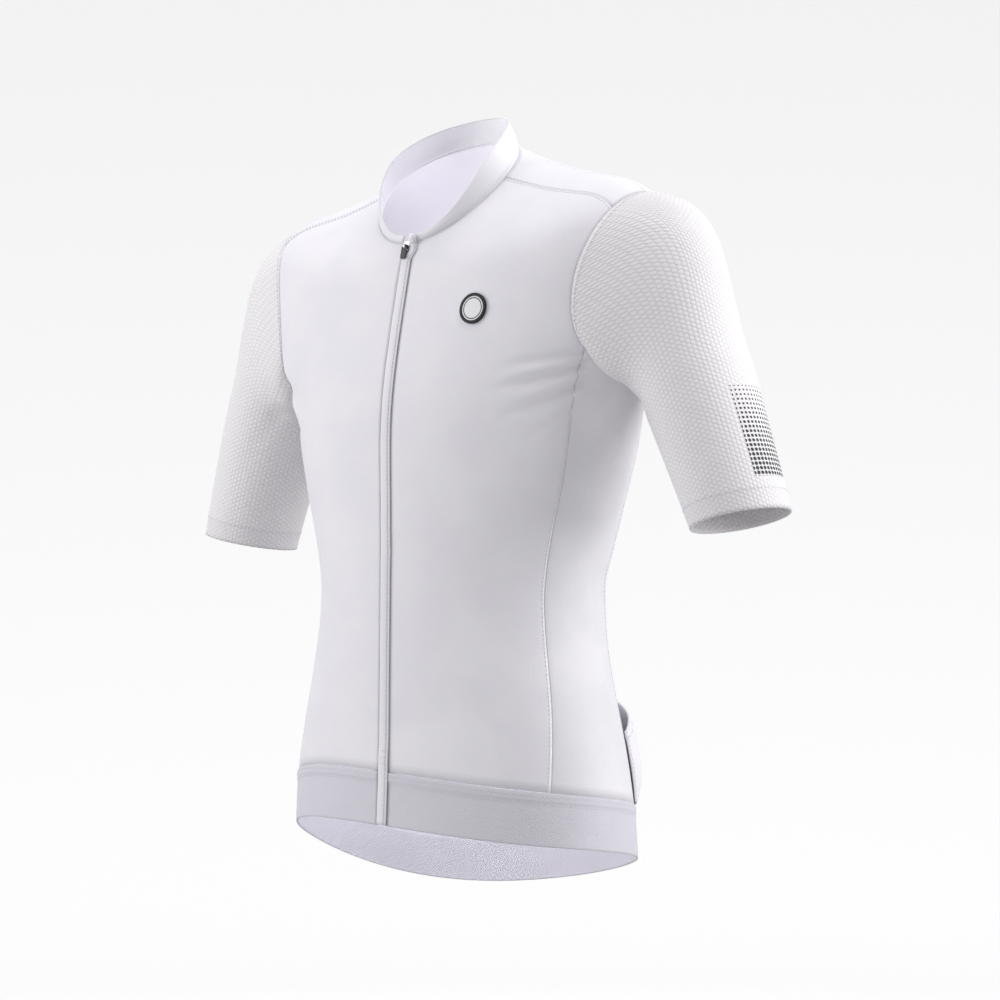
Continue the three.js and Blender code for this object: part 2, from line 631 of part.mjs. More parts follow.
/** A solid to join, from a closed geometry. */
function toSolid(geometry) {
  const bare = new THREE.BufferGeometry().setAttribute("position", geometry.getAttribute("position"));
  bare.setIndex(geometry.getIndex());
  const merged = mergeVertices(bare, 1e-4);
  return new wasm.Manifold(
    new wasm.Mesh({
      numProp: 3,
      vertProperties: new Float32Array(merged.getAttribute("position").array),
      triVerts: new Uint32Array(merged.getIndex().array),
    }),
  );
}

/** Two closed geometries joined into one. */
function joined(first, second) {
  const { vertProperties, triVerts } = toSolid(first).add(toSolid(second)).getMesh();
  const geometry = new THREE.BufferGeometry();
  geometry.setAttribute("position", new THREE.BufferAttribute(vertProperties, 3));
  geometry.setIndex(new THREE.BufferAttribute(triVerts, 1));
  return geometry;
}

/** A rectangle with rounded corners, between two heights and centred across. */
function roundedRectangle(width, bottom, top, round) {
  const half = width / 2;
  const shape = new THREE.Shape();
  shape.moveTo(-half + round, bottom);
  shape.lineTo(half - round, bottom);
  shape.absarc(half - round, bottom + round, round, -Math.PI / 2, 0);
  shape.lineTo(half, top - round);
  shape.absarc(half - round, top - round, round, 0, Math.PI / 2);
  shape.lineTo(-half + round, top);
  shape.absarc(-half + round, top - round, round, Math.PI / 2, Math.PI);
  shape.lineTo(-half, bottom + round);
  shape.absarc(-half + round, bottom + round, round, Math.PI, 1.5 * Math.PI);
  return shape;
}

/** A flat plate with its back at some distance in front of the pull tab's pin. */
function plate(shape, back, thickness) {
  const geometry = new THREE.ExtrudeGeometry(shape, { depth: thickness, bevelEnabled: false, curveSegments: 4 });
  return geometry.translate(0, 0, back);
}

// Zip head. Its group's x runs across, y up along the zip and z out of the body, from the pull tab's pin.
const pinOut = SLIDER.out + SLIDER.thickness + ARCH.hinge;
const zipHead = new THREE.Group();
const middleOf = (level) => torsoPoint(-Math.PI / 2, level);
const upwards = middleOf(SLIDER.level + 1).sub(middleOf(SLIDER.level - 1)).normalize();
const across = new THREE.Vector3(1, 0, 0);
const outwards = new THREE.Vector3().crossVectors(across, upwards);
zipHead.quaternion.setFromRotationMatrix(new THREE.Matrix4().makeBasis(across, upwards, outwards));
zipHead.position.copy(middleOf(SLIDER.level)).addScaledVector(outwards, pinOut);
jersey.add(zipHead);

const sliderPlate = plate(
  roundedRectangle(SLIDER.width, -SLIDER.height / 2, SLIDER.height / 2, SLIDER.round),
  -ARCH.hinge - SLIDER.thickness,
  SLIDER.thickness,
);
const archSide = new THREE.Shape();
archSide.moveTo(-ARCH.radius, -ARCH.hinge - SLIDER.thickness / 2);
archSide.lineTo(ARCH.radius, -ARCH.hinge - SLIDER.thickness / 2);
archSide.lineTo(ARCH.radius, 0);
archSide.absarc(0, 0, ARCH.radius, 0, Math.PI);
archSide.holes.push(new THREE.Path().absarc(0, 0, ARCH.hole, 0, 2 * Math.PI, true));
const arch = new THREE.ExtrudeGeometry(archSide, { depth: ARCH.width, bevelEnabled: false, curveSegments: 8 });
arch.translate(0, 0, -ARCH.width / 2);
arch.applyMatrix4(
  new THREE.Matrix4().makeBasis(
    new THREE.Vector3(0, 1, 0),
    new THREE.Vector3(0, 0, 1),
    new THREE.Vector3(1, 0, 0),
  ),
);
addPiece("slider", joined(sliderPlate, arch), finish.metal, zipHead);

const pullShape = new THREE.Shape();
pullShape.moveTo(-PULL.width / 2, PULL.arm);
pullShape.lineTo(-PULL.width / 2, PULL.round - PULL.length);
pullShape.absarc(PULL.round - PULL.width / 2, PULL.round - PULL.length, PULL.round, Math.PI, 1.5 * Math.PI);
pullShape.lineTo(PULL.width / 2 - PULL.round, -PULL.length);
pullShape.absarc(PULL.width / 2 - PULL.round, PULL.round - PULL.length, PULL.round, 1.5 * Math.PI, 2 * Math.PI);
pullShape.lineTo(PULL.width / 2, PULL.arm);
pullShape.lineTo(PULL.slot / 2, PULL.arm);
pullShape.lineTo(PULL.slot / 2, -PULL.slotLength);
pullShape.lineTo(-PULL.slot / 2, -PULL.slotLength);
pullShape.lineTo(-PULL.slot / 2, PULL.arm);
const pin = new THREE.CylinderGeometry(PULL.pin, PULL.pin, (PULL.width + PULL.slot) / 2, 16).rotateZ(Math.PI / 2);
addPiece("pull_tab", joined(plate(pullShape, -PULL.thickness / 2, PULL.thickness), pin), finish.pull, zipHead);

// Badge: a round plate that follows the chest, with a raised rim
const badgeMiddle = torsoPoint(BADGE.angle, BADGE.level);
const alongAngle = torsoPoint(BADGE.angle + 0.01, BADGE.level).sub(badgeMiddle).divideScalar(0.01);
const alongLevel = torsoPoint(BADGE.angle, BADGE.level + 1).sub(badgeMiddle);
const chestOut = new THREE.Vector3().crossVectors(alongAngle, alongLevel).normalize();
const chestAcross = alongAngle.clone().normalize();
const chestUp = new THREE.Vector3().crossVectors(chestOut, chestAcross);

/** The point of the chest at a distance across and up from the middle of the badge. */
function chestPoint(x, y) {
  let [angle, level] = [BADGE.angle, BADGE.level];
  for (let round = 0; round < 6; round++) {
    const reached = torsoPoint(angle, level).sub(badgeMiddle);
    angle += (x - reached.dot(chestAcross)) / alongAngle.length();
    level += (y - reached.dot(chestUp)) / alongLevel.dot(chestUp);
  }
  return torsoPoint(angle, level);
}

const badgeRise = new Map();
const badge = makeGrid(BADGE.cells, BADGE.cells, (column, row) => {
  const [u, v] = [(2 * column) / BADGE.cells - 1, (2 * row) / BADGE.cells - 1];
  const x = u * Math.sqrt(1 - (v * v) / 2);
  const y = v * Math.sqrt(1 - (u * u) / 2);
  const rim = smoothstep(Math.hypot(x, y), BADGE.rimFrom - 0.1, BADGE.rimFrom);
  badgeRise.set(points.length, lerp(BADGE.middle, BADGE.rim, rim));
  return chestPoint(x * BADGE.radius, y * BADGE.radius);
});
addPiece(
  "chest_badge",
  clothWall(quadsBetween(badge, [0, BADGE.cells], [0, BADGE.cells]), {
    out: (number) => LIFT + badgeRise.get(number),
    thickness: (number) => badgeRise.get(number),
    inset: 0,
  }),
  finish.badge,
);

export default jersey;
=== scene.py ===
"""Looks of a short-sleeved cycling jersey, filled out as if worn.

The cloth is built from the same two-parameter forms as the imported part, on finer grids. Lengths in the
forms are millimetres, and they become metres when a piece is made. +Z is up, the front faces -Y and the
wearer's left side is +X.
"""

import json
import logging
import math
from dataclasses import dataclass, field
from enum import Enum
from typing import Callable, Optional, Sequence, Union

import bpy
import numpy as np
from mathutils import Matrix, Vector

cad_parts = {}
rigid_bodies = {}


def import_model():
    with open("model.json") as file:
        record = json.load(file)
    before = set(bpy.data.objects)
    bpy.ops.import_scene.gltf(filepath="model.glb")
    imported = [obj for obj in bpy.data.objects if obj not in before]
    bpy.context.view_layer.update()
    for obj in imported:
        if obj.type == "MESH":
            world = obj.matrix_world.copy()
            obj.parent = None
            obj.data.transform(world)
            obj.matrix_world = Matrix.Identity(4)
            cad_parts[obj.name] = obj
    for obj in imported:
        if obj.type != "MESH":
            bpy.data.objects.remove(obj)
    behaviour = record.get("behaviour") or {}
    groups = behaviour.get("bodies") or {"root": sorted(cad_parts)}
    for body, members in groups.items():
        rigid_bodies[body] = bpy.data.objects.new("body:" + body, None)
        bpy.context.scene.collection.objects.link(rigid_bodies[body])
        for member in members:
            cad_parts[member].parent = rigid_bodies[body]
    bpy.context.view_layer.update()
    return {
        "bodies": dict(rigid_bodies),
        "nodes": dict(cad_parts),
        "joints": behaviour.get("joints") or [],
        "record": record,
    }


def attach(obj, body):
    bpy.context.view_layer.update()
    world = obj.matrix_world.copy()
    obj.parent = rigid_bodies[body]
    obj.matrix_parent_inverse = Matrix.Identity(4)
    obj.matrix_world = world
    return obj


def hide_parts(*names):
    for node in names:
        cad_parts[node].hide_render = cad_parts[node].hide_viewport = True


LOG = logging.getLogger("jersey")
MM = 0.001
DEGREE = math.pi / 180

WALL = 1.2
SEAM_INSET = 0.12
BAND_TOP = 49.0
NECK_LEVEL = 712.0
FINE = 6
TURNS = np.arange(6)[:, None] * math.pi / 3
HEXAGON = (np.cos(TURNS), np.sin(TURNS))


class Held(Enum):
    """How a sheet of cloth is held."""

    STRETCHED = "stretched"
    GATHERED = "gathered"


class Side(Enum):
    """A side of the wearer, as the sign of its x."""

    LEFT = 1
    RIGHT = -1


# Forms


def natural_spline(knots: Sequence[float], values: Sequence[float]) -> Callable[[np.ndarray], np.ndarray]:
    """A natural cubic spline.

    Args:
        knots: Where the values lie, rising.
        values: The values.

    Returns:
        A function of an array that gives the spline there.
    """
    x, y = np.asarray(knots, float), np.asarray(values, float)
    gap = np.diff(x)
    size = len(x)
    left, right = np.eye(size), np.zeros(size)
    for k in range(1, size - 1):
        left[k, k - 1 : k + 2] = gap[k - 1], 2 * (gap[k - 1] + gap[k]), gap[k]
        right[k] = 6 * ((y[k + 1] - y[k]) / gap[k] - (y[k] - y[k - 1]) / gap[k - 1])
    bend = np.linalg.solve(left, right)

    def at(place: np.ndarray) -> np.ndarray:
        """The spline at some places."""
        place = np.asarray(place, float)
        k = np.clip(np.searchsorted(x, place) - 1, 0, size - 2)
        b = (place - x[k]) / gap[k]
        a = 1 - b
        curve = (a**3 - a) * bend[k] + (b**3 - b) * bend[k + 1]
        return a * y[k] + b * y[k + 1] + curve * gap[k] ** 2 / 6

    return at


def smoothstep(value: np.ndarray, low: float, high: float) -> np.ndarray:
    """Rises smoothly from 0 at low to 1 at high: 3t² - 2t³ of the share t of the way."""
    t = np.clip((np.asarray(value, float) - low) / (high - low), 0, 1)
    return t * t * (3 - 2 * t)


def lerp(first: np.ndarray, last: np.ndarray, share: np.ndarray) -> np.ndarray:
    """Straight from first to last: first + (last - first)·share."""
    return first + (last - first) * share


def unit(vectors: np.ndarray) -> np.ndarray:
    """The same directions at length 1: each vector divided by its length."""
    return vectors / np.maximum(np.linalg.norm(vectors, axis=-1, keepdims=True), 1e-9)


@dataclass(frozen=True)
class Fold:
    """A trough in cloth along a straight line, or a ridge where its depth is below 0."""

    from_u: float
    from_v: float
    to_u: float
    to_v: float
    width: float
    depth: float

    def at(self, u: np.ndarray, v: np.ndarray) -> np.ndarray:
        """How deep it is: depth·(1 - along²)·exp(-(away/width)²).

        Args:
            u: Distance round the cloth.
            v: Distance along it.

        Returns:
            The depth there.
        """
        du, dv = self.to_u - self.from_u, self.to_v - self.from_v
        along = np.clip(((u - self.from_u) * du + (v - self.from_v) * dv) / (du * du + dv * dv), 0, 1)
        away = np.hypot(u - self.from_u - along * du, v - self.from_v - along * dv)
        return self.depth * (1 - along**2) * np.exp(-((away / self.width) ** 2))


# Folds from angle and level to angle and level, then width and depth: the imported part's, then small ones
TORSO_FOLDS = (
    (-27, 428, -50, 414, 11, 4), (-22, 412, -46, 380, 12, 4.5), (-12, 398, -34, 340, 14, 3),
    (28, 424, 52, 404, 13, 3.5), (20, 404, 44, 352, 15, 4), (206, 430, 230, 420, 12, 3.5),
    (200, 410, 222, 370, 13, 4.5), (154, 426, 130, 410, 13, 3.5), (161, 402, 138, 345, 15, 4),
    (8, 232, 48, 246, 17, 3), (176, 226, 136, 238, 18, 3),
    (-29, 442, -56, 440, 4.5, 4.0), (-28, 436, -58, 424, 4.5, -1.6), (-27, 430, -58, 414, 4.5, 4.4),
    (-26, 420, -52, 400, 4.5, -1.8), (-24, 412, -54, 382, 4.5, 4.0), (-18, 402, -42, 358, 5.5, 3.2),
    (-14, 394, -30, 350, 5, -1.5),
    (204, 422, 226, 398, 6, -1.2), (208, 436, 224, 434, 5, 0.9), (24, 414, 48, 378, 7, -1.1),
    (157, 415, 133, 380, 7, -1.1), (-8, 300, -40, 262, 16, 0.9), (-6, 205, -44, 224, 14, 0.8),
    (190, 210, 222, 232, 15, 0.9), (-80, 96, -48, 112, 16, 0.7), (-84, 250, -60, 226, 18, 0.6),
    (-100, 300, -128, 268, 18, 0.7), (-102, 120, -130, 98, 15, 0.8), (78, 300, 50, 322, 18, 1.2),
    (100, 268, 132, 292, 18, 1.1), (60, 610, 84, 560, 16, 1.0), (118, 606, 96, 566, 15, 0.9),
)
SLEEVE_FOLDS = {
    Side.LEFT: (
        (252, 1, 214, 7, 9, 4), (266, 2, 236, 9, 9, 3.5), (292, 1.5, 330, 8, 10, 4),
        (244, 1.2, 218, 5, 4, -1), (259, 2, 232, 8, 4, -1), (226, 8, 200, 12, 9, 0.9),
        (300, 7, 336, 12, 9, 1),
    ),
    Side.RIGHT: (
        (232, 1, 196, 5, 9, 3.5), (250, 1.5, 214, 8, 9, 4.5), (288, 1, 324, 9, 10, 4),
        (241, 1.2, 208, 6, 4, -1), (222, 7, 190, 12, 9, 0.9), (268, 2, 240, 9, 8, 1.6),
        (296, 8, 330, 12, 9, 1),
    ),
}


class Torso:
    """The torso's face by angle round the body and level up it. Its formula is in point()."""

    COLUMNS = ("side_x", "side_y", "side_z", "front_y", "front_z", "back_y", "back_z", "square", "twist")
    LEVELS = (0, 49, 110, 220, 312, 400, 482, 566, 644, 712)
    ROWS = (
        (180, 27, -605, -81, -583, 140, -638, 2.15, 17), (177, 26, -558, -79, -535, 138, -590, 2.15, 17),
        (167, 26, -494, -78, -473, 132, -525, 2.1, 11), (147, 25, -377, -77, -366, 126, -398, 2.1, 4),
        (168, 29, -284, -77, -285, 139, -290, 2.1, 0), (192, 35, -198, -76, -213, 148, -185, 2.15, 0),
        (222, 35, -118, -66, -148, 143, -98, 2.2, 0), (216, 24, -31, -56, -100, 118, -37, 2.1, 0),
        (142, 17, -11, -51, -77, 90, 11, 2.0, 0), (71, 8, 2, -47, -60, 60, 43, 2.0, 0),
    )
    RADIUS = 150.0

    def __init__(self) -> None:
        """Fits a spline up the body through each column of the table."""
        values = np.array(self.ROWS, float)
        self.section = {
            name: natural_spline(self.LEVELS, values[:, k]) for k, name in enumerate(self.COLUMNS)
        }
        scale = DEGREE * self.RADIUS
        self.folds = [Fold(a * scale, b, c * scale, d, w, h) for a, b, c, d, w, h in TORSO_FOLDS]

    def point(self, angle: np.ndarray, level: np.ndarray) -> np.ndarray:
        """A point of the outer face.

        With out and back the cosine and sine of the angle, each to the power 2/square with its sign kept,
        x = side·out, and y and z run through the front, side and back values as back goes from -1 to 1. The
        twist adds twist·out·back to z. Folds push x and y in.

        Args:
            angle: -90 degrees at the front, 0 at the wearer's left, 90 behind, in radians.
            level: Distance up the side of the body.

        Returns:
            Points in millimetres, with x, y and z last.
        """
        at = {name: spline(level) for name, spline in self.section.items()}
        power = 2 / at["square"]
        cosine, sine = np.cos(angle), np.sin(angle)
        out = np.sign(cosine) * np.abs(cosine) ** power
        back = np.sign(sine) * np.abs(sine) ** power
        depth = sum(fold.at(angle * self.RADIUS, level) for fold in self.folds)

        def through(axis: str) -> np.ndarray:
            """Runs y or z through front, side and back."""
            front, side, rear = at["front_" + axis], at["side_" + axis], at["back_" + axis]
            return side + (rear - front) / 2 * back + ((rear + front) / 2 - side) * back**2

        x = at["side_x"] * out - depth * cosine
        y = through("y") - depth * sine
        z = through("z") + at["twist"] * out * back
        return np.stack([x, y, z], -1)

    def front_angle(self, x: np.ndarray, level: np.ndarray) -> np.ndarray:
        """The angle of a place some distance to the wearer's left of the centre front.

        Args:
            x: The distance, positive to the wearer's left.
            level: The level.

        Returns:
            The angle in radians.
        """
        share = np.abs(x) / self.section["side_x"](level)
        away = np.arccos(share ** (self.section["square"](level) / 2))
        return np.where(np.asarray(x) < 0, away - math.pi, -away)

    def collar(self, angle: np.ndarray, share: np.ndarray) -> np.ndarray:
        """A point of the collar: the neck seam's point, raised by height·share, leaning in and forward.

        Args:
            angle: Round the neck.
            share: How far up the collar.

        Returns:
            Points in millimetres.
        """
        out, back = np.cos(angle), np.sin(angle)
        height = lerp(7.0, 23.0, smoothstep(back, -1, 0.1))
        bulge = 1.2 * np.sin(math.pi * share)
        point = self.point(angle, np.full_like(angle, NECK_LEVEL))
        point[..., 0] += (bulge - 8 * share) * out
        point[..., 1] += bulge * back - 12 * out**2 * share
        point[..., 2] += height * share
        return point

    def body(self, angle: np.ndarray, level: np.ndarray) -> np.ndarray:
        """A point of the torso, or above the neck seam one of the collar.

        Args:
            angle: Round the body.
            level: The level, past the neck's on the collar.

        Returns:
            Points in millimetres.
        """
        on_torso = self.point(angle, np.minimum(level, NECK_LEVEL))
        on_collar = self.collar(angle, np.maximum(level - NECK_LEVEL, 0) / 7.0)
        return np.where((level <= NECK_LEVEL)[..., None], on_torso, on_collar)


class Pattern:
    """Where the seams run, and the grid of columns and rows that follows them."""

    FRONT, SIDE, BACK = 9, 17, 26
    LAST = 52
    ARMPIT, SHOULDER, NECK = 10, 18, 23
    LOW, HIGH = 216 * DEGREE, 108 * DEGREE

    def __init__(self, torso: Torso) -> None:
        """Keeps the torso whose face it divides."""
        self.torso = torso

    @staticmethod
    def armhole(turn: np.ndarray) -> tuple[np.ndarray, np.ndarray]:
        """Angle and level of the armhole, an ellipse that leans forward. The turn is 0 behind."""
        angle = (-1 + 37.5 * np.cos(turn) - 5 * np.sin(turn)) * DEGREE
        return angle, 494 + 82 * np.sin(turn)

    def row(self, row: np.ndarray) -> tuple[np.ndarray, np.ndarray, np.ndarray]:
        """Level of a row and the two angles that bound the side on it, in three stretches: up the side
        seams, round the armhole and over the shoulder.

        Args:
            row: Row number, with fractions.

        Returns:
            Level, front angle and back angle.
        """
        def edges(turn: np.ndarray) -> tuple[np.ndarray, np.ndarray, np.ndarray]:
            """Level, front angle and back angle of the armhole."""
            front, level = self.armhole(turn)
            return level, front, self.armhole(math.pi - turn)[0]

        t = 1 - np.clip(1 - row / self.ARMPIT, 0, 1) ** 1.35
        low, low_front, low_back = edges(np.array(self.LOW))
        swing = 7 * DEGREE * np.sin(math.pi * t)
        under = (
            lerp(BAND_TOP, low, t),
            lerp(-30 * DEGREE, low_front, t) + swing,
            lerp(30 * DEGREE, low_back, t) - swing,
        )
        share = np.clip((row - self.ARMPIT) / 8, 0, 1)
        beside = edges(lerp(self.LOW, self.HIGH, share))
        t = np.clip((row - self.SHOULDER) / 5, 0, 1)
        high, high_front, high_back = edges(np.array(self.HIGH))
        over = (
            lerp(high, NECK_LEVEL, t),
            lerp(high_front, -4 * DEGREE, t),
            lerp(high_back, 38 * DEGREE, t),
        )
        parts = [np.where(row <= self.ARMPIT, a, np.where(row <= self.SHOULDER, b, c))
                 for a, b, c in zip(under, beside, over)]
        return parts[0], parts[1], parts[2]

    def place(self, column: np.ndarray, row: np.ndarray) -> tuple[np.ndarray, np.ndarray]:
        """Angle and level of a grid point. Columns past the centre back mirror those before it.

        Args:
            column: Column number, with fractions.
            row: Row number, with fractions.

        Returns:
            Angle and level.
        """
        half = np.minimum(column, self.LAST - column)
        level, front, back = self.row(row)
        zip_edge = self.torso.front_angle(np.full_like(level, 5.0), level)
        below = row <= self.ARMPIT
        corner = np.where(below, self.LOW, self.HIGH)
        direction = np.where(below, 3, 1)
        share = np.clip((half - self.FRONT) / 8, 0, 1)
        turn = lerp(corner, direction * math.pi - corner, share)
        spread = np.cos(corner)
        across = (np.cos(turn) - spread) / (-2 * spread)
        bow = 82 * (np.sin(turn) - np.sin(corner))
        fade = np.where(below, (row / self.ARMPIT) ** 3, np.clip(1 - (row - self.SHOULDER) / 5, 0, 1) ** 2)
        inside = (half > self.FRONT) & (half < self.SIDE)
        angle = np.where(
            half <= self.FRONT,
            lerp(zip_edge, front, half / self.FRONT),
            np.where(inside, lerp(front, back, across), lerp(back, math.pi / 2, (half - self.SIDE) / 9)),
        )
        angle = np.where(column > self.BACK, math.pi - angle, angle)
        return angle, np.where(inside, level + bow * fade, level)

    def point(self, column: np.ndarray, row: np.ndarray) -> np.ndarray:
        """The torso's points at columns and rows, in millimetres."""
        return self.torso.point(*self.place(column, row))


def grid_normals(points: np.ndarray, closed: bool = False) -> np.ndarray:
    """Normals of a grid: the cross product of its slopes along columns and rows.

    Args:
        points: Rows by columns by 3.
        closed: Whether the last column meets the first.

    Returns:
        Unit normals of the same shape.
    """
    if closed:
        wide = np.concatenate([points[:, -2:-1], points, points[:, 1:2]], 1)
        along = (wide[:, 2:] - wide[:, :-2]) / 2
    else:
        along = np.gradient(points, axis=1)
    up = np.gradient(points, axis=0)
    return unit(np.cross(along, up))


@dataclass
class Patch:
    """A grid of cloth with its normals and its distances across and along, all in millimetres."""

    points: np.ndarray
    normals: np.ndarray
    closed: bool = False
    flow: np.ndarray = field(init=False)

    def __post_init__(self) -> None:
        """Measures the distances: the sums of the edge lengths along each row and up each column."""
        across = np.linalg.norm(np.diff(self.points, axis=1), axis=-1)
        along = np.linalg.norm(np.diff(self.points, axis=0), axis=-1)
        u = np.pad(np.cumsum(across, 1), ((0, 0), (1, 0)))
        v = np.pad(np.cumsum(along, 0), ((1, 0), (0, 0)))
        self.flow = np.stack([u - u.mean(1, keepdims=True), v], -1)

    def cut(self, columns: slice, rows: slice) -> "Patch":
        """A part of the grid, with the normals of the whole."""
        return Patch(self.points[rows, columns], self.normals[rows, columns])

    def lifted(self, out: Union[float, np.ndarray]) -> "Patch":
        """The same grid moved out along its normals: p + out·n."""
        move = np.broadcast_to(np.asarray(out, float), self.points.shape[:2])[..., None]
        return Patch(self.points + self.normals * move, self.normals, self.closed)

    def sunk_edges(self, depth: float, reach: float, pucker: float = 0.0) -> "Patch":
        """The cloth drawn in beside its seams: out = -(depth + pucker·wave)·exp(-(d/reach)²).

        d is the distance to the nearest side edge, and with s along it the wave is
        sin(2π·s/11)·sin(2π·s/47 + 1).

        Args:
            depth: How deep it sinks.
            reach: How wide the sunk strip is.
            pucker: How much the depth varies along the seam.

        Returns:
            The sunk grid.
        """
        u, v = self.flow[..., 0], self.flow[..., 1]
        away = np.minimum(u - u[:, :1], u[:, -1:] - u)
        wave = np.sin(2 * math.pi * v / 11) * np.sin(2 * math.pi * v / 47 + 1)
        return self.lifted(-(depth + pucker * wave) * np.exp(-((away / reach) ** 2)))

    def size(self) -> tuple[float, float, float]:
        """Width, length and area of the cloth laid flat, in metres.

        Returns:
            The longest row, the longest column and the area.
        """
        p = self.points
        across = np.cross(p[1:, 1:] - p[:-1, :-1], p[1:, :-1] - p[:-1, 1:])
        area = np.linalg.norm(across, axis=-1).sum() / 2
        width = np.linalg.norm(np.diff(p, axis=1), axis=-1).sum(1).max()
        length = np.linalg.norm(np.diff(p, axis=0), axis=-1).sum(0).max()
        return width * MM, length * MM, area * MM * MM


# Meshes


def mesh_object(
    name: str, points: np.ndarray, faces: np.ndarray, flow: Optional[np.ndarray] = None
) -> bpy.types.Object:
    """A mesh object from points and faces.

    Args:
        name: The piece's name.
        points: Vertices in millimetres.
        faces: Vertex numbers, one row for each face.
        flow: Two distances for each corner of each face, kept as a texture map in metres.

    Returns:
        The object, in the scene.
    """
    mesh = bpy.data.meshes.new(name)
    count, sides = faces.shape
    mesh.vertices.add(len(points))
    mesh.vertices.foreach_set("co", (points * MM).astype(np.float32).ravel())
    mesh.loops.add(count * sides)
    mesh.loops.foreach_set("vertex_index", faces.astype(np.int32).ravel())
    mesh.polygons.add(count)
    mesh.polygons.foreach_set("loop_start", np.arange(0, count * sides, sides, dtype=np.int32))
    mesh.polygons.foreach_set("use_smooth", np.ones(count, bool))
    if flow is not None:
        layer = mesh.uv_layers.new(name="flow")
        layer.data.foreach_set("uv", (flow * MM).astype(np.float32).ravel())
    mesh.update(calc_edges=True)
    made = bpy.data.objects.new(name, mesh)
    bpy.context.scene.collection.objects.link(made)
    return made


def grid_faces(rows: int, columns: int) -> np.ndarray:
    """Quads of a grid.

    Args:
        rows: Number of rows of points.
        columns: Number of columns of points.

    Returns:
        Four vertex numbers for each quad.
    """
    r, c = np.meshgrid(np.arange(rows - 1), np.arange(columns - 1), indexing="ij")
    corner = r * columns + c
    return np.stack([corner, corner + 1, corner + columns + 1, corner + columns], -1).reshape(-1, 4)


def tube_faces(rings: int) -> np.ndarray:
    """Quads round a six-sided tube, and two across each of its ends.

    Args:
        rings: How many rings of six points it has.

    Returns:
        Four vertex numbers for each quad.
    """
    ring, corner = np.divmod(grid_faces(rings, 7), 7)
    start = np.array([[3, 2, 1, 0], [5, 4, 3, 0]])
    end = start[:, ::-1] + (rings - 1) * 6
    return np.concatenate([ring * 6 + corner % 6, start, end])


def shell(
    name: str, patch: Patch, thickness: Union[float, np.ndarray] = WALL, inset: float = SEAM_INSET
) -> bpy.types.Object:
    """A thin closed wall whose outer face is the patch.

    The inner face is p - thickness·n, and a strip joins the two along every open edge. Open edges first
    draw in by the inset.

    Args:
        name: The piece's name.
        patch: The outer face.
        thickness: The wall's thickness, as one number or one for each point.
        inset: How far open edges draw in.

    Returns:
        The object.
    """
    p, normals = patch.points, patch.normals
    thick = np.broadcast_to(np.asarray(thickness, float), p.shape[:2])[..., None]
    outer = p.copy()
    outer[0] += unit(p[1] - p[0]) * inset
    outer[-1] += unit(p[-2] - p[-1]) * inset
    if not patch.closed:
        outer[:, 0] += unit(p[:, 1] - p[:, 0]) * inset
        outer[:, -1] += unit(p[:, -2] - p[:, -1]) * inset
    rows, columns = p.shape[:2]
    size = rows * columns
    faces = grid_faces(rows, columns)
    walls = [np.stack([b, a, a + size, b + size], -1) for a, b in open_edges(rows, columns, patch.closed)]
    every = np.concatenate([faces, faces[:, ::-1] + size, *walls])
    flow = np.tile(patch.flow.reshape(-1, 2), (2, 1))[every]
    points = np.concatenate([outer.reshape(-1, 3), (outer - normals * thick).reshape(-1, 3)])
    if patch.closed:
        number = np.arange(2 * size)
        first = np.where(number % columns == columns - 1, number - columns + 1, number)
        used, place = np.unique(first, return_inverse=True)
        points, every = points[used], place.reshape(-1)[every]
    return mesh_object(name, points, every, flow)


def open_edges(rows: int, columns: int, closed: bool) -> list[tuple[np.ndarray, np.ndarray]]:
    """The open edges of a grid, in the direction of its faces.

    Args:
        rows: Number of rows.
        columns: Number of columns.
        closed: Whether the last column is the first, so that only the two end rows are open.

    Returns:
        Pairs of arrays: where each edge starts and ends.
    """
    low = np.arange(columns)
    high = low + (rows - 1) * columns
    ends = [(low[:-1], low[1:]), (high[1:], high[:-1])]
    if closed:
        return ends
    left = np.arange(rows) * columns
    right = left + columns - 1
    return [*ends, (right[:-1], right[1:]), (left[1:], left[:-1])]


@dataclass(frozen=True)
class Stitching:
    """A line of short stitches along a path on the cloth."""

    length: float = 2.6
    gap: float = 1.3
    radius: float = 0.28
    rings: int = 5

    def along(self, path: np.ndarray, out: np.ndarray) -> tuple[np.ndarray, np.ndarray]:
        """Stitches as six-sided spindles that dip into the cloth at their ends.

        A stitch's middle line is p(s) + out·(0.2·sin(πt) + 0.02) and its radius is r·sin(πt)^0.4.

        Args:
            path: Points in millimetres.
            out: The cloth's normal at each.

        Returns:
            Vertices and quads.
        """
        step = np.linalg.norm(np.diff(path, axis=0), axis=1)
        s = np.concatenate([[0], np.cumsum(step)])
        count = max(int(s[-1] / (self.length + self.gap)), 1)
        pitch = s[-1] / count
        share = np.linspace(0.02, 0.98, self.rings)
        start = np.arange(count)[:, None] * pitch + self.gap / 2
        at = start + share[None, :] * (pitch - self.gap)
        middle = np.stack([np.interp(at, s, path[:, k]) for k in range(3)], -1)
        normal = np.stack([np.interp(at, s, out[:, k]) for k in range(3)], -1)
        arc = np.sin(math.pi * share)[None, :, None]
        middle = middle + normal * (0.2 * arc + 0.02)
        across = np.cross(normal, unit(np.gradient(middle, axis=1)))
        ring = across[:, :, None] * HEXAGON[0] + normal[:, :, None] * HEXAGON[1]
        points = middle[:, :, None] + ring * (self.radius * arc**0.4)[..., None]
        first = np.arange(count)[:, None, None] * self.rings * 6
        return points.reshape(-1, 3), (tube_faces(self.rings)[None] + first).reshape(-1, 4)


# Shader maths

Value = Union["Wire", float]
Key = Union[str, int]
Colour = tuple[float, float, float]


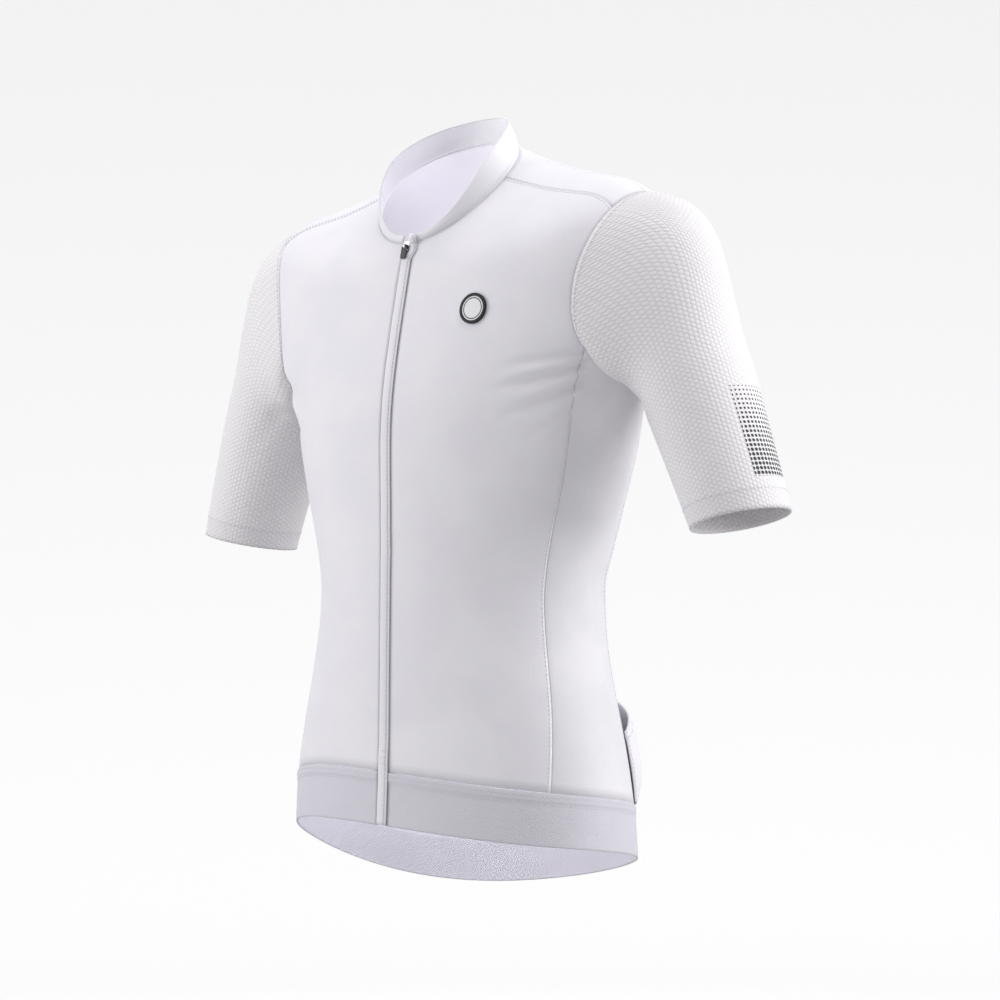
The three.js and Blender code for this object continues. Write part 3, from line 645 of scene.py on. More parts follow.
class Wire:
    """A node's output, with the arithmetic of shader maths."""

    def __init__(self, graph: "Graph", socket: bpy.types.NodeSocket) -> None:
        """Keeps the graph and the output."""
        self.graph, self.socket = graph, socket

    def _math(self, kind: str, *values: Value) -> "Wire":
        """Adds a maths node with these inputs."""
        return self.graph.add("ShaderNodeMath", {"operation": kind}, dict(enumerate(values)))

    def __add__(self, other: Value) -> "Wire":
        """Self plus the other."""
        return self._math("ADD", self, other)

    __radd__ = __add__

    def __sub__(self, other: Value) -> "Wire":
        """Self less the other."""
        return self._math("SUBTRACT", self, other)

    def __rsub__(self, other: Value) -> "Wire":
        """The other less self."""
        return self._math("SUBTRACT", other, self)

    def __mul__(self, other: Value) -> "Wire":
        """Self times the other."""
        return self._math("MULTIPLY", self, other)

    __rmul__ = __mul__

    def __truediv__(self, other: Value) -> "Wire":
        """Self over the other."""
        return self._math("DIVIDE", self, other)

    def sin(self) -> "Wire":
        """The sine."""
        return self._math("SINE", self)

    def cos(self) -> "Wire":
        """The cosine."""
        return self._math("COSINE", self)

    def wrap(self) -> "Wire":
        """The fraction, from 0 to 1."""
        return self._math("FRACT", self)

    def step(self, low: float, high: float) -> "Wire":
        """A smooth step, 0 at low and 1 at high."""
        return self.graph.add(
            "ShaderNodeMapRange",
            {"interpolation_type": "SMOOTHSTEP"},
            {"Value": self, "From Min": low, "From Max": high},
        )


class Graph:
    """The nodes of one material."""

    def __init__(self, name: str) -> None:
        """Makes a material with its surface node."""
        self.material = bpy.data.materials.new(name)
        self.material.use_nodes = True
        self.tree = self.material.node_tree
        self.surface = self.tree.nodes["Principled BSDF"]

    def put(self, node: bpy.types.Node, key: Key, value: object) -> None:
        """Sets or links one input.

        Args:
            node: The node.
            key: The input's name or number.
            value: A wire or a constant.
        """
        if isinstance(value, Wire):
            self.tree.links.new(value.socket, node.inputs[key])
        else:
            node.inputs[key].default_value = value

    def add(
        self, kind: str, settings: dict[str, object], inputs: dict[Key, object], out: Key = 0
    ) -> Wire:
        """Adds a node: its settings first, then its values and links.

        Args:
            kind: The node's type.
            settings: Its properties.
            inputs: Its inputs, as wires or constants.
            out: Which output to use.

        Returns:
            The output.
        """
        node = self.tree.nodes.new(kind)
        for key, value in settings.items():
            setattr(node, key, value)
        for key, value in inputs.items():
            self.put(node, key, value)
        return Wire(self, node.outputs[out])

    def flow(self) -> tuple[Wire, Wire]:
        """Distances across and along the cloth, in millimetres.

        Returns:
            Both distances.
        """
        uv = self.add("ShaderNodeUVMap", {"uv_map": "flow"}, {})
        split = self.tree.nodes.new("ShaderNodeSeparateXYZ")
        self.tree.links.new(uv.socket, split.inputs[0])
        return Wire(self, split.outputs[0]) * 1000.0, Wire(self, split.outputs[1]) * 1000.0

    def noise(self, size: float, detail: float = 3.0) -> Wire:
        """Soft noise of 0 to 1 in the object's space, in patches of a size in millimetres."""
        where = self.add("ShaderNodeTexCoord", {}, {}, "Object")
        return self.add("ShaderNodeTexNoise", {}, {"Vector": where, "Scale": 1000.0 / size, "Detail": detail})

    def mix(self, share: Value, first: Union[Wire, Colour], last: Colour) -> Wire:
        """A colour between two.

        Args:
            share: 0 for the first, 1 for the last.
            first: A colour.
            last: A colour.

        Returns:
            The colour.
        """
        node = self.tree.nodes.new("ShaderNodeMix")
        node.data_type = "RGBA"
        self.put(node, 0, share)
        self.put(node, 6, first if isinstance(first, Wire) else (*first, 1))
        self.put(node, 7, (*last, 1))
        return Wire(self, node.outputs[2])

    def bump(self, height: Wire, distance: float, strength: float = 1.0) -> None:
        """Raises the surface's normal by a height of 0 to 1, where 1 is a distance in millimetres."""
        inputs = {"Strength": strength, "Distance": distance * MM, "Height": height}
        self.put(self.surface, "Normal", self.add("ShaderNodeBump", {}, inputs))

    def finish(self, **values: object) -> bpy.types.Material:
        """Sets the surface's inputs, with underscores for spaces, and gives the material."""
        for key, value in values.items():
            self.put(self.surface, key.replace("_", " "), value)
        return self.material


@dataclass(frozen=True)
class Knit:
    """A smooth, very fine knit with soft shading and a slight sheen."""

    name: str
    light: Colour
    dark: Colour
    wale: float = 1.1
    relief: float = 0.08

    def build(self) -> bpy.types.Material:
        """Makes the material: rows of stitches, |sin| across by sin along, over cloudy variation.

        Returns:
            The material.
        """
        g = Graph(self.name)
        u, v = g.flow()
        ribs = (u * (2 * math.pi / self.wale)).sin()
        loops = (v * (2 * math.pi / (self.wale * 1.3)) + ribs * 0.8).sin()
        grain = g.noise(0.9, 2)
        cloud = g.noise(60, 4).step(0.35, 0.68)
        height = ribs * 0.3 + loops * 0.3 + grain * 0.6 + g.noise(9, 3) * 1.6 + g.noise(38, 2) * 6.0
        g.bump(height, self.relief, 0.8)
        speck = cloud * 0.7 + grain * 0.3
        return g.finish(
            Base_Color=g.mix(speck, self.dark, self.light), Roughness=cloud * 0.08 + 0.62,
            Sheen_Weight=0.25, Sheen_Roughness=0.4, Specular_IOR_Level=0.35,
        )


@dataclass(frozen=True)
class DimpleMesh:
    """A knitted mesh with a honeycomb of dimples, with or without a printed field of dots."""

    name: str
    light: Colour
    dark: Colour
    cell: float = 4.4
    relief: float = 0.5
    dots: Optional[tuple[float, float, float, float]] = None

    def build(self) -> bpy.types.Material:
        """Makes the material, with a darker hem and painted shade in the sunk borders of the honeycomb.

        The honeycomb is cos(a) + cos(b) + cos(c) for three directions 60 degrees apart: a = k·u,
        b = k·(u/2 + 0.866·v) and c = k·(u/2 - 0.866·v).

        Returns:
            The material.
        """
        g = Graph(self.name)
        u, v = g.flow()
        k = 2 * math.pi / (self.cell * 0.866)
        half, rise = u * (k / 2), v * (k * 0.866)
        waves = (u * k).cos() + (half + rise).cos() + (half - rise).cos()
        cushion_and_painted_shade = waves.step(-1.4, 0.9)
        hem = v.step(-20.6, -19.6)
        grain = g.noise(0.8, 2)
        height = cushion_and_painted_shade + grain * 0.18 + g.noise(12, 3) * 0.7 + g.noise(40, 2) * 3.0
        g.bump(height, self.relief, 0.75)
        cloud = g.noise(55, 4)
        # Painted shade: the colour follows the honeycomb's relief and is darker in the sunk borders between
        # the cells. The cloud adds the cloth's own uneven tone, and the hem is darker.
        colour = g.mix(cushion_and_painted_shade * 0.75 + cloud * 0.25 - hem * 0.3, self.dark, self.light)
        if self.dots:
            left, right, low, high = self.dots
            pitch = 4.2
            a, b = (u / pitch).wrap() - 0.5, (v / pitch).wrap() - 0.5
            away = a * a + b * b
            inside = u.step(left, left + 1) * (1 - u.step(right - 1, right))
            inside = inside * v.step(low, low + 1) * (1 - v.step(high - 1, high))
            fade = v.step(low - 30, high)
            dot = (fade * 0.15 + 0.02 - away).step(-0.008, 0.008) * inside
            colour = g.mix(dot, colour, (0.035, 0.035, 0.042))
        return g.finish(
            Base_Color=colour, Roughness=cloud * 0.08 + 0.68, Sheen_Weight=0.2,
            Sheen_Roughness=0.45, Specular_IOR_Level=0.35,
        )


@dataclass(frozen=True)
class Twill:
    """A twilled elastic band or woven tape, with fine diagonal lines."""

    name: str
    light: Colour
    dark: Colour
    pitch: float = 2.6
    relief: float = 0.24

    def build(self) -> bpy.types.Material:
        """Makes the material: sin of the sum of both distances, broken by sin of the distance across.

        Returns:
            The material.
        """
        g = Graph(self.name)
        u, v = g.flow()
        line = ((u + v) * (2 * math.pi / self.pitch) + (u * 7.0).sin() * 0.5).sin().step(-0.6, 0.9)
        cloud = g.noise(30, 4)
        g.bump(line * 0.8 + g.noise(0.8, 2) * 0.4 + g.noise(11, 2) * 0.8, self.relief, 0.8)
        return g.finish(
            Base_Color=g.mix(line * 0.6 + cloud * 0.4, self.dark, self.light), Roughness=cloud * 0.1 + 0.64,
            Sheen_Weight=0.2, Sheen_Roughness=0.4,
        )


@dataclass(frozen=True)
class Solid:
    """A moulded or cast surface with fine grain and scuffs."""

    name: str
    colour: Colour
    worn: Colour
    rough: float
    metal: float = 0.0
    glow: float = 0.0

    def build(self) -> bpy.types.Material:
        """Makes the material: noise scuffs blend the colour into the worn one.

        Returns:
            The material.
        """
        g = Graph(self.name)
        scuff = g.noise(2.2, 5).step(0.5, 0.75)
        g.bump(g.noise(0.4, 3), 0.02, 0.5)
        return g.finish(
            Base_Color=g.mix(scuff, self.colour, self.worn), Roughness=scuff * 0.12 + self.rough,
            Metallic=self.metal, Emission_Color=(1, 1, 1, 1), Emission_Strength=self.glow,
        )


@dataclass(frozen=True)
class RingPrint:
    """A round print: a dark outer ring, a pale ring, a thin dark ring and a plain pale centre."""

    name: str
    radius: float = 14.0

    def build(self) -> bpy.types.Material:
        """Makes the material from the distance r to the middle, with a step at each ring's edge.

        Returns:
            The material.
        """
        g = Graph(self.name)
        u, v = g.flow()
        r = (u * u + v * v) / self.radius**2
        pale = r.step(0.49, 0.52) - r.step(0.61, 0.64)
        centre = 1 - r.step(0.40, 0.43)
        scuff = g.noise(3, 4)
        colour = g.mix(pale + centre, (0.012, 0.012, 0.014), (0.78, 0.78, 0.81))
        g.bump(g.noise(0.7, 3) + r.step(0.6, 0.66) * 2.0, 0.05, 0.6)
        return g.finish(Base_Color=colour, Roughness=scuff * 0.12 + 0.5, Specular_IOR_Level=0.25)


class Finishes:
    """Every material, by what it is for."""

    def __init__(self) -> None:
        """Builds them all."""
        white, grey = (0.80, 0.785, 0.83), (0.745, 0.73, 0.785)
        mesh_white, mesh_grey = (0.82, 0.80, 0.82), (0.71, 0.69, 0.72)
        dots = (-10, 66, -112, -28)
        self.body = Knit("body_cloth", white, grey).build()
        self.side = Knit("side_cloth", (0.79, 0.775, 0.815), (0.71, 0.70, 0.74), 1.6, 0.09).build()
        self.sleeve = DimpleMesh("mesh_cloth", mesh_white, mesh_grey).build()
        self.printed = DimpleMesh("mesh_cloth_dots", mesh_white, mesh_grey, dots=dots).build()
        self.band = Twill("band_cloth", (0.70, 0.685, 0.75), (0.56, 0.545, 0.61)).build()
        self.tape = Twill("zip_tape", (0.46, 0.45, 0.50), (0.36, 0.35, 0.40), 1.2, 0.08).build()
        self.teeth = Solid("zip_teeth", (0.12, 0.12, 0.14), (0.24, 0.24, 0.27), 0.38).build()
        self.thread = Solid("thread", (0.62, 0.60, 0.66), (0.74, 0.72, 0.77), 0.6).build()
        self.metal = Solid("slider_metal", (0.56, 0.56, 0.58), (0.72, 0.72, 0.74), 0.24, 1.0).build()
        self.pull = Solid("pull_rubber", (0.02, 0.02, 0.024), (0.05, 0.05, 0.055), 0.55).build()
        self.badge = RingPrint("badge_print").build()
        pale, paler = (0.86, 0.86, 0.865), (0.875, 0.875, 0.88)
        self.floor = Solid("studio_floor", pale, paler, 0.85, glow=0.42).build()


@dataclass
class Workshop:
    """What every sub-assembly shares: the form, the pattern and the finishes."""

    torso: Torso
    pattern: Pattern
    finishes: Finishes

    def add(
        self, piece: bpy.types.Object, finish: bpy.types.Material, slot: str, *nodes: str
    ) -> bpy.types.Object:
        """Finishes a piece, lets it ride on the jersey and hides the CAD nodes it stands for.

        Args:
            piece: The piece.
            finish: Its material.
            slot: The record's slot. Not used.
            *nodes: CAD nodes it replaces.

        Returns:
            The piece.
        """
        piece.data.materials.append(finish)
        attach(piece, "jersey")
        if nodes:
            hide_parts(*nodes)
        LOG.info("%s: %d faces", piece.name, len(piece.data.polygons))
        return piece

    def sheet(
        self, piece: bpy.types.Object, patch: Patch, rests_on: Sequence[str], held: Held = Held.STRETCHED
    ) -> None:
        """Logs the flat size of a piece's cloth, as its form measures it.

        Args:
            piece: The piece.
            patch: Its outer face.
            rests_on: What it is sewn to. Not used.
            held: How it is held. Not used.
        """
        width, length, area = patch.size()
        area = min(area, width * length)
        LOG.info("%s: flat %.3f by %.3f m, %.4f m2", piece.name, width, length, area)


# Sub-assemblies


@dataclass
class Body:
    """The panels of the torso, with the seams between them."""

    shop: Workshop
    groove: float = 0.35
    groove_reach: float = 2.4
    pucker: float = 0.12
    yoke_pucker: float = 0.1
    stitch_gap: float = 2.0

    def build(self) -> None:
        """Makes the front, side and back panels and the yokes from one fine grid, and their stitches."""
        pattern, finish = self.shop.pattern, self.shop.finishes
        columns = np.linspace(0, pattern.LAST, pattern.LAST * FINE + 1)
        rows = np.linspace(0, pattern.NECK, pattern.NECK * FINE + 1)
        points = pattern.point(*np.meshgrid(columns, rows))
        whole = Patch(points, grid_normals(points))
        front, back, last = pattern.FRONT * FINE, pattern.SIDE * FINE, pattern.LAST * FINE
        left, right = slice(front, back + 1), slice(last - back, last - front + 1)
        every, low = slice(None), slice(0, pattern.ARMPIT * FINE + 1)
        plan = (
            ("front_left_panel", "front_left", slice(0, front + 1), every, finish.body, "body_cloth"),
            ("front_right_panel", "front_right", slice(last - front, None), every, finish.body, "body_cloth"),
            ("side_left_panel", "side_left", left, low, finish.side, "mesh_cloth"),
            ("side_right_panel", "side_right", right, low, finish.side, "mesh_cloth"),
            ("back_panel", "back", slice(back, last - back + 1), every, finish.body, "body_cloth"),
        )
        for name, node, across, up, material, slot in plan:
            patch = whole.cut(across, up).sunk_edges(self.groove, self.groove_reach, self.pucker)
            piece = self.shop.add(shell(name, patch), material, slot, node)
            self.shop.sheet(piece, patch, ["hem_band"])
        high = slice(pattern.SHOULDER * FINE, None)
        for word, across in (("left", left), ("right", right)):
            patch = whole.cut(across, high).sunk_edges(self.groove, self.groove_reach, self.yoke_pucker)
            piece = self.shop.add(shell(f"yoke_{word}", patch), finish.body, "body_cloth")
            self.shop.sheet(piece, patch, ["back_panel"])
        self.stitch(whole, front, back, last)

    def stitch(self, whole: Patch, front: int, back: int, last: int) -> None:
        """Sews one row of stitches beside each seam up the sides and two along each yoke's front seam.

        Args:
            whole: The torso's grid.
            front: Column of the front seam.
            back: Column of the back seam.
            last: The last column.
        """
        low = slice(0, self.shop.pattern.ARMPIT * FINE)
        high = slice(self.shop.pattern.SHOULDER * FINE, None)
        lines = []
        for column, rows, sign in (
            (front, low, -1), (last - front, low, 1), (back, low, 1), (last - back, low, -1),
            (front, high, -1), (last - front, high, 1), (front, high, 1), (last - front, high, -1),
        ):
            path, out = whole.points[rows, column], whole.normals[rows, column]
            beside = unit(whole.points[rows, column + 1] - path) * self.stitch_gap * sign
            lines.append(Stitching().along(path + beside - out * 0.1, out))
        add_stitches(self.shop, "body_stitches", lines)


def add_stitches(shop: Workshop, name: str, lines: Sequence[tuple[np.ndarray, np.ndarray]]) -> None:
    """Joins rows of stitches into one piece.

    Args:
        shop: What the sub-assemblies share.
        name: The piece's name.
        lines: Vertices and quads of each row.
    """
    offset = np.cumsum([0] + [len(points) for points, _ in lines])
    points = np.concatenate([points for points, _ in lines])
    faces = np.concatenate([faces + start for (_, faces), start in zip(lines, offset)])
    shop.add(mesh_object(name, points, faces), shop.finishes.thread, "body_cloth")


@dataclass
class Sleeve:
    """A sleeve from its armhole to its cuff."""

    shop: Workshop
    side: Side

    radius: float = 48.0
    fold_radius: float = 52.0
    row_pitch: float = 14.0
    hem: float = 20.0
    hem_wall: float = 2.0
    groove: float = 0.3
    hem_groove: float = 0.35

    CAP_ROWS, ROWS, LOOP = 8, 15, 32
    RINGS = ((258, 47, -196, 52, 24), (296, 50, -297, 46, 14), (303, 51, -317, 45, 13))

    def onto(self, vector: np.ndarray) -> np.ndarray:
        """Mirrors vectors of the left side for the right one."""
        return vector * np.array([self.side.value, 1, 1])

    def tube(self, turn: np.ndarray, share: np.ndarray) -> np.ndarray:
        """The arm's tube: centre + radius·(cos(turn)·y + sin(turn)·(cos(tilt), 0, sin(tilt))).

        The rings give the centre's x, y and z, the radius and the tilt in degrees.

        Args:
            turn: Round the arm.
            share: From the upper arm at 0 to the cuff at 1.

        Returns:
            Points in millimetres.
        """
        rings = np.array(self.RINGS, float)
        x, y, z, radius, tilt = (natural_spline([0, 6 / 7, 1], rings[:, k])(share) for k in range(5))
        tilt = tilt * DEGREE
        swing = radius * np.sin(turn)
        point = (x + swing * np.cos(tilt), y + radius * np.cos(turn), z + swing * np.sin(tilt))
        return self.onto(np.stack(point, -1))

    def cap(self, start: np.ndarray, turn: np.ndarray, share: np.ndarray) -> np.ndarray:
        """The cap: a cubic Bezier from the armhole, leaving outwards on top and down the arm below, to the
        upper arm, where it runs along the arm.

        Args:
            start: Points of the armhole.
            turn: Round the arm.
            share: From the armhole at 0 to the upper arm at 1.

        Returns:
            Points in millimetres.
        """
        end = self.tube(turn, np.zeros_like(turn))
        length = np.linalg.norm(start - end, axis=-1, keepdims=True)
        top = smoothstep(np.sin(turn), -1.3, 0.8)[..., None]
        arm = self.onto(np.array([0.403, 0.054, -0.914]))
        leave = unit(lerp(arm, self.onto(np.array([0.95, 0.26, -0.05])), top))
        first = start + leave * length * lerp(0.42, 0.5, top)
        last = end - arm * length * 0.42
        t = share[..., None]
        return (1 - t) ** 3 * start + 3 * (1 - t) ** 2 * t * first + 3 * (1 - t) * t * t * last + t**3 * end

    def build(self) -> None:
        """Makes the sleeve, its turned cuff and the stitches round the armhole and the cuff."""
        pattern = self.shop.pattern
        steps = np.linspace(0, self.LOOP, self.LOOP * FINE + 1)
        rows = np.linspace(0, self.ROWS, self.ROWS * FINE + 1)
        k, row = np.meshgrid(steps, rows)
        column = np.interp(steps, [0, 8, 16, 24, 32], [9, 9, 17, 17, 9])
        height = np.interp(steps, [0, 8, 16, 24, 32], [10, 18, 18, 10, 10])
        rim = pattern.point(column if self.side is Side.LEFT else pattern.LAST - column, height)
        turn = pattern.LOW - k / self.LOOP * 2 * math.pi
        start = np.broadcast_to(rim, (*k.shape, 3))
        on_cap = self.cap(start, turn, np.clip(row / self.CAP_ROWS, 0, 1))
        on_arm = self.tube(turn, np.clip((row - self.CAP_ROWS) / (self.ROWS - self.CAP_ROWS), 0, 1))
        points = np.where((row < self.CAP_ROWS)[..., None], on_cap, on_arm)
        wrapped = np.where(turn < 0, turn + 2 * math.pi, turn)
        scale = DEGREE * self.fold_radius
        folds = [
            Fold(a * scale, b * self.row_pitch, c * scale, d * self.row_pitch, w, h)
            for a, b, c, d, w, h in SLEEVE_FOLDS[self.side]
        ]
        depth = sum(fold.at(wrapped * self.fold_radius, row * self.row_pitch) for fold in folds)
        depth = depth * np.minimum(row, 1)
        outwards = self.onto(np.stack([np.sin(turn), np.cos(turn), np.zeros_like(turn)], -1))
        points = points - outwards * depth[..., None]
        points[:, -1] = points[:, 0]
        if self.side is Side.LEFT:
            points = points[:, ::-1]
        patch = Patch(points, grid_normals(points, True), True)
        along = patch.flow[..., 1]
        away = along[-1:] - along
        round_arm = np.linspace(-1, 1, points.shape[1]) * self.side.value * math.pi * self.radius
        armhole_groove = self.groove * np.exp(-((along / 2.4) ** 2))
        cuff_groove = self.hem_groove * np.exp(-(((away - self.hem) / 1.2) ** 2))
        patch = patch.lifted(-armhole_groove - cuff_groove)
        patch.flow = np.stack(np.broadcast_arrays(round_arm[None, :], -away), -1)
        word = self.side.name.lower()
        finish = self.shop.finishes.printed if self.side is Side.LEFT else self.shop.finishes.sleeve
        made = shell(f"sleeve_{word}_cloth", patch, np.where(away < self.hem, self.hem_wall, WALL))
        piece = self.shop.add(made, finish, "mesh_cloth", f"sleeve_{word}")
        self.shop.sheet(piece, patch, ["back_panel"])
        sew = Stitching()
        cuff = self.ROWS * FINE - 5
        sewn = patch.points + patch.normals * 0.05
        lines = [sew.along(sewn[at], patch.normals[at]) for at in (1, cuff)]
        add_stitches(self.shop, f"sleeve_{word}_stitches", lines)


@dataclass
class Trim:
    """The hem band and the collar."""

    shop: Workshop
    band_wall: float = 1.7
    band_stitches: tuple[float, float] = (38.5, 46.0)
    collar_wall: float = 1.5
    collar_rows: int = 15

    BAND_LEVELS = (0, 1.5, 39.6, 41.6, 47.5, 49)
    BAND_LIFT = (0.1, 0.4, 0.4, 1.2, 1.2, 0.7)

    def ring(
        self, rows: np.ndarray, face: Callable[[np.ndarray, np.ndarray], np.ndarray], base_row: float
    ) -> Patch:
        """A grid round the body, over the angles of one row of the pattern.

        Args:
            rows: What the face takes for each row.
            face: Gives points from angles and rows.
            base_row: The pattern's row.

        Returns:
            The grid.
        """
        pattern = self.shop.pattern
        column = np.linspace(0, pattern.LAST, pattern.LAST * FINE + 1)
        angle, _ = pattern.place(column, np.full_like(column, base_row))
        points = face(*np.meshgrid(angle, rows))
        return Patch(points, grid_normals(points))

    def build(self) -> None:
        """Makes the band with its stepped top strip, the folded collar and their stitches."""
        finish, sew = self.shop.finishes, Stitching()
        stretches = (np.linspace(0, 40, 25), np.linspace(40, 42, 7), np.linspace(42, 49, 7))
        levels = np.unique(np.concatenate(stretches))
        lift = np.interp(levels, self.BAND_LEVELS, self.BAND_LIFT)[:, None]
        band = self.ring(levels, self.shop.torso.point, 0).lifted(lift)
        made = shell("hem_band_cloth", band, self.band_wall)
        piece = self.shop.add(made, finish.band, "band_cloth", "hem_band")
        self.shop.sheet(piece, band, ["front_left_panel", "back_panel"])
        rows = [int(np.abs(levels - at).argmin()) for at in self.band_stitches]
        lines = [sew.along(band.points[at], band.normals[at]) for at in rows]
        share = np.linspace(0, 1, self.collar_rows)
        fold = np.exp(-(((share - 0.92) / 0.06) ** 2))
        collar = self.ring(share, self.shop.torso.collar, self.shop.pattern.NECK)
        collar = collar.lifted((0.35 * np.sin(math.pi * share) + 0.35 * fold)[:, None])
        made = shell("collar_cloth", collar, self.collar_wall)
        piece = self.shop.add(made, finish.body, "body_cloth", "collar")
        self.shop.sheet(piece, collar, ["back_panel"])
        lines.append(sew.along(collar.points[2], collar.normals[2]))
        add_stitches(self.shop, "trim_stitches", lines)


@dataclass
class Pockets:
    """The three open pockets on the back."""

    shop: Workshop
    foot: float = 51.0
    lift: float = 2.4
    wall: float = 1.2
    mouth_wall: float = 1.7
    mouth_from: float = 0.88

    # Name, first and last angle, the mouth's level at each, and the bulge
    TABLE = (
        ("left", 25, 65, 112, 166, 14),
        ("centre", 68, 112, 172, 172, 13),
        ("right", 115, 155, 166, 112, 14),
    )

    def build(self) -> None:
        """Makes each pocket: the torso's face lifted by bulge·sin(πa)^0.8·sin(π(0.72b)^0.8)."""
        sew = Stitching()
        lines = []
        across, up = np.meshgrid(np.linspace(0, 1, 49), np.linspace(0, 1, 37))
        full = np.abs(np.sin(math.pi * across)) ** 0.8 * np.sin(math.pi * (0.72 * up) ** 0.8)
        sag = 0.8 * np.sin(across * 9 + up * 4) * full
        thickness = np.where(up > self.mouth_from, self.mouth_wall, self.wall)
        for name, from_angle, to_angle, from_level, to_level, bulge in self.TABLE:
            level = lerp(self.foot, lerp(from_level, to_level, across), up)
            points = self.shop.torso.point(lerp(from_angle, to_angle, across) * DEGREE, level)
            points = Patch(points, grid_normals(points)).lifted(self.lift + bulge * full + sag).points
            patch = Patch(points, grid_normals(points))
            made = shell(f"pocket_{name}_cloth", patch, thickness)
            piece = self.shop.add(made, self.shop.finishes.body, "body_cloth", f"pocket_{name}")
            self.shop.sheet(piece, patch, ["back_panel"], Held.GATHERED)
            lines += [sew.along(patch.points[:, at], patch.normals[:, at]) for at in (1, -2)]
            lines.append(sew.along(patch.points[-5], patch.normals[-5]))
        add_stitches(self.shop, "pocket_stitches", lines)


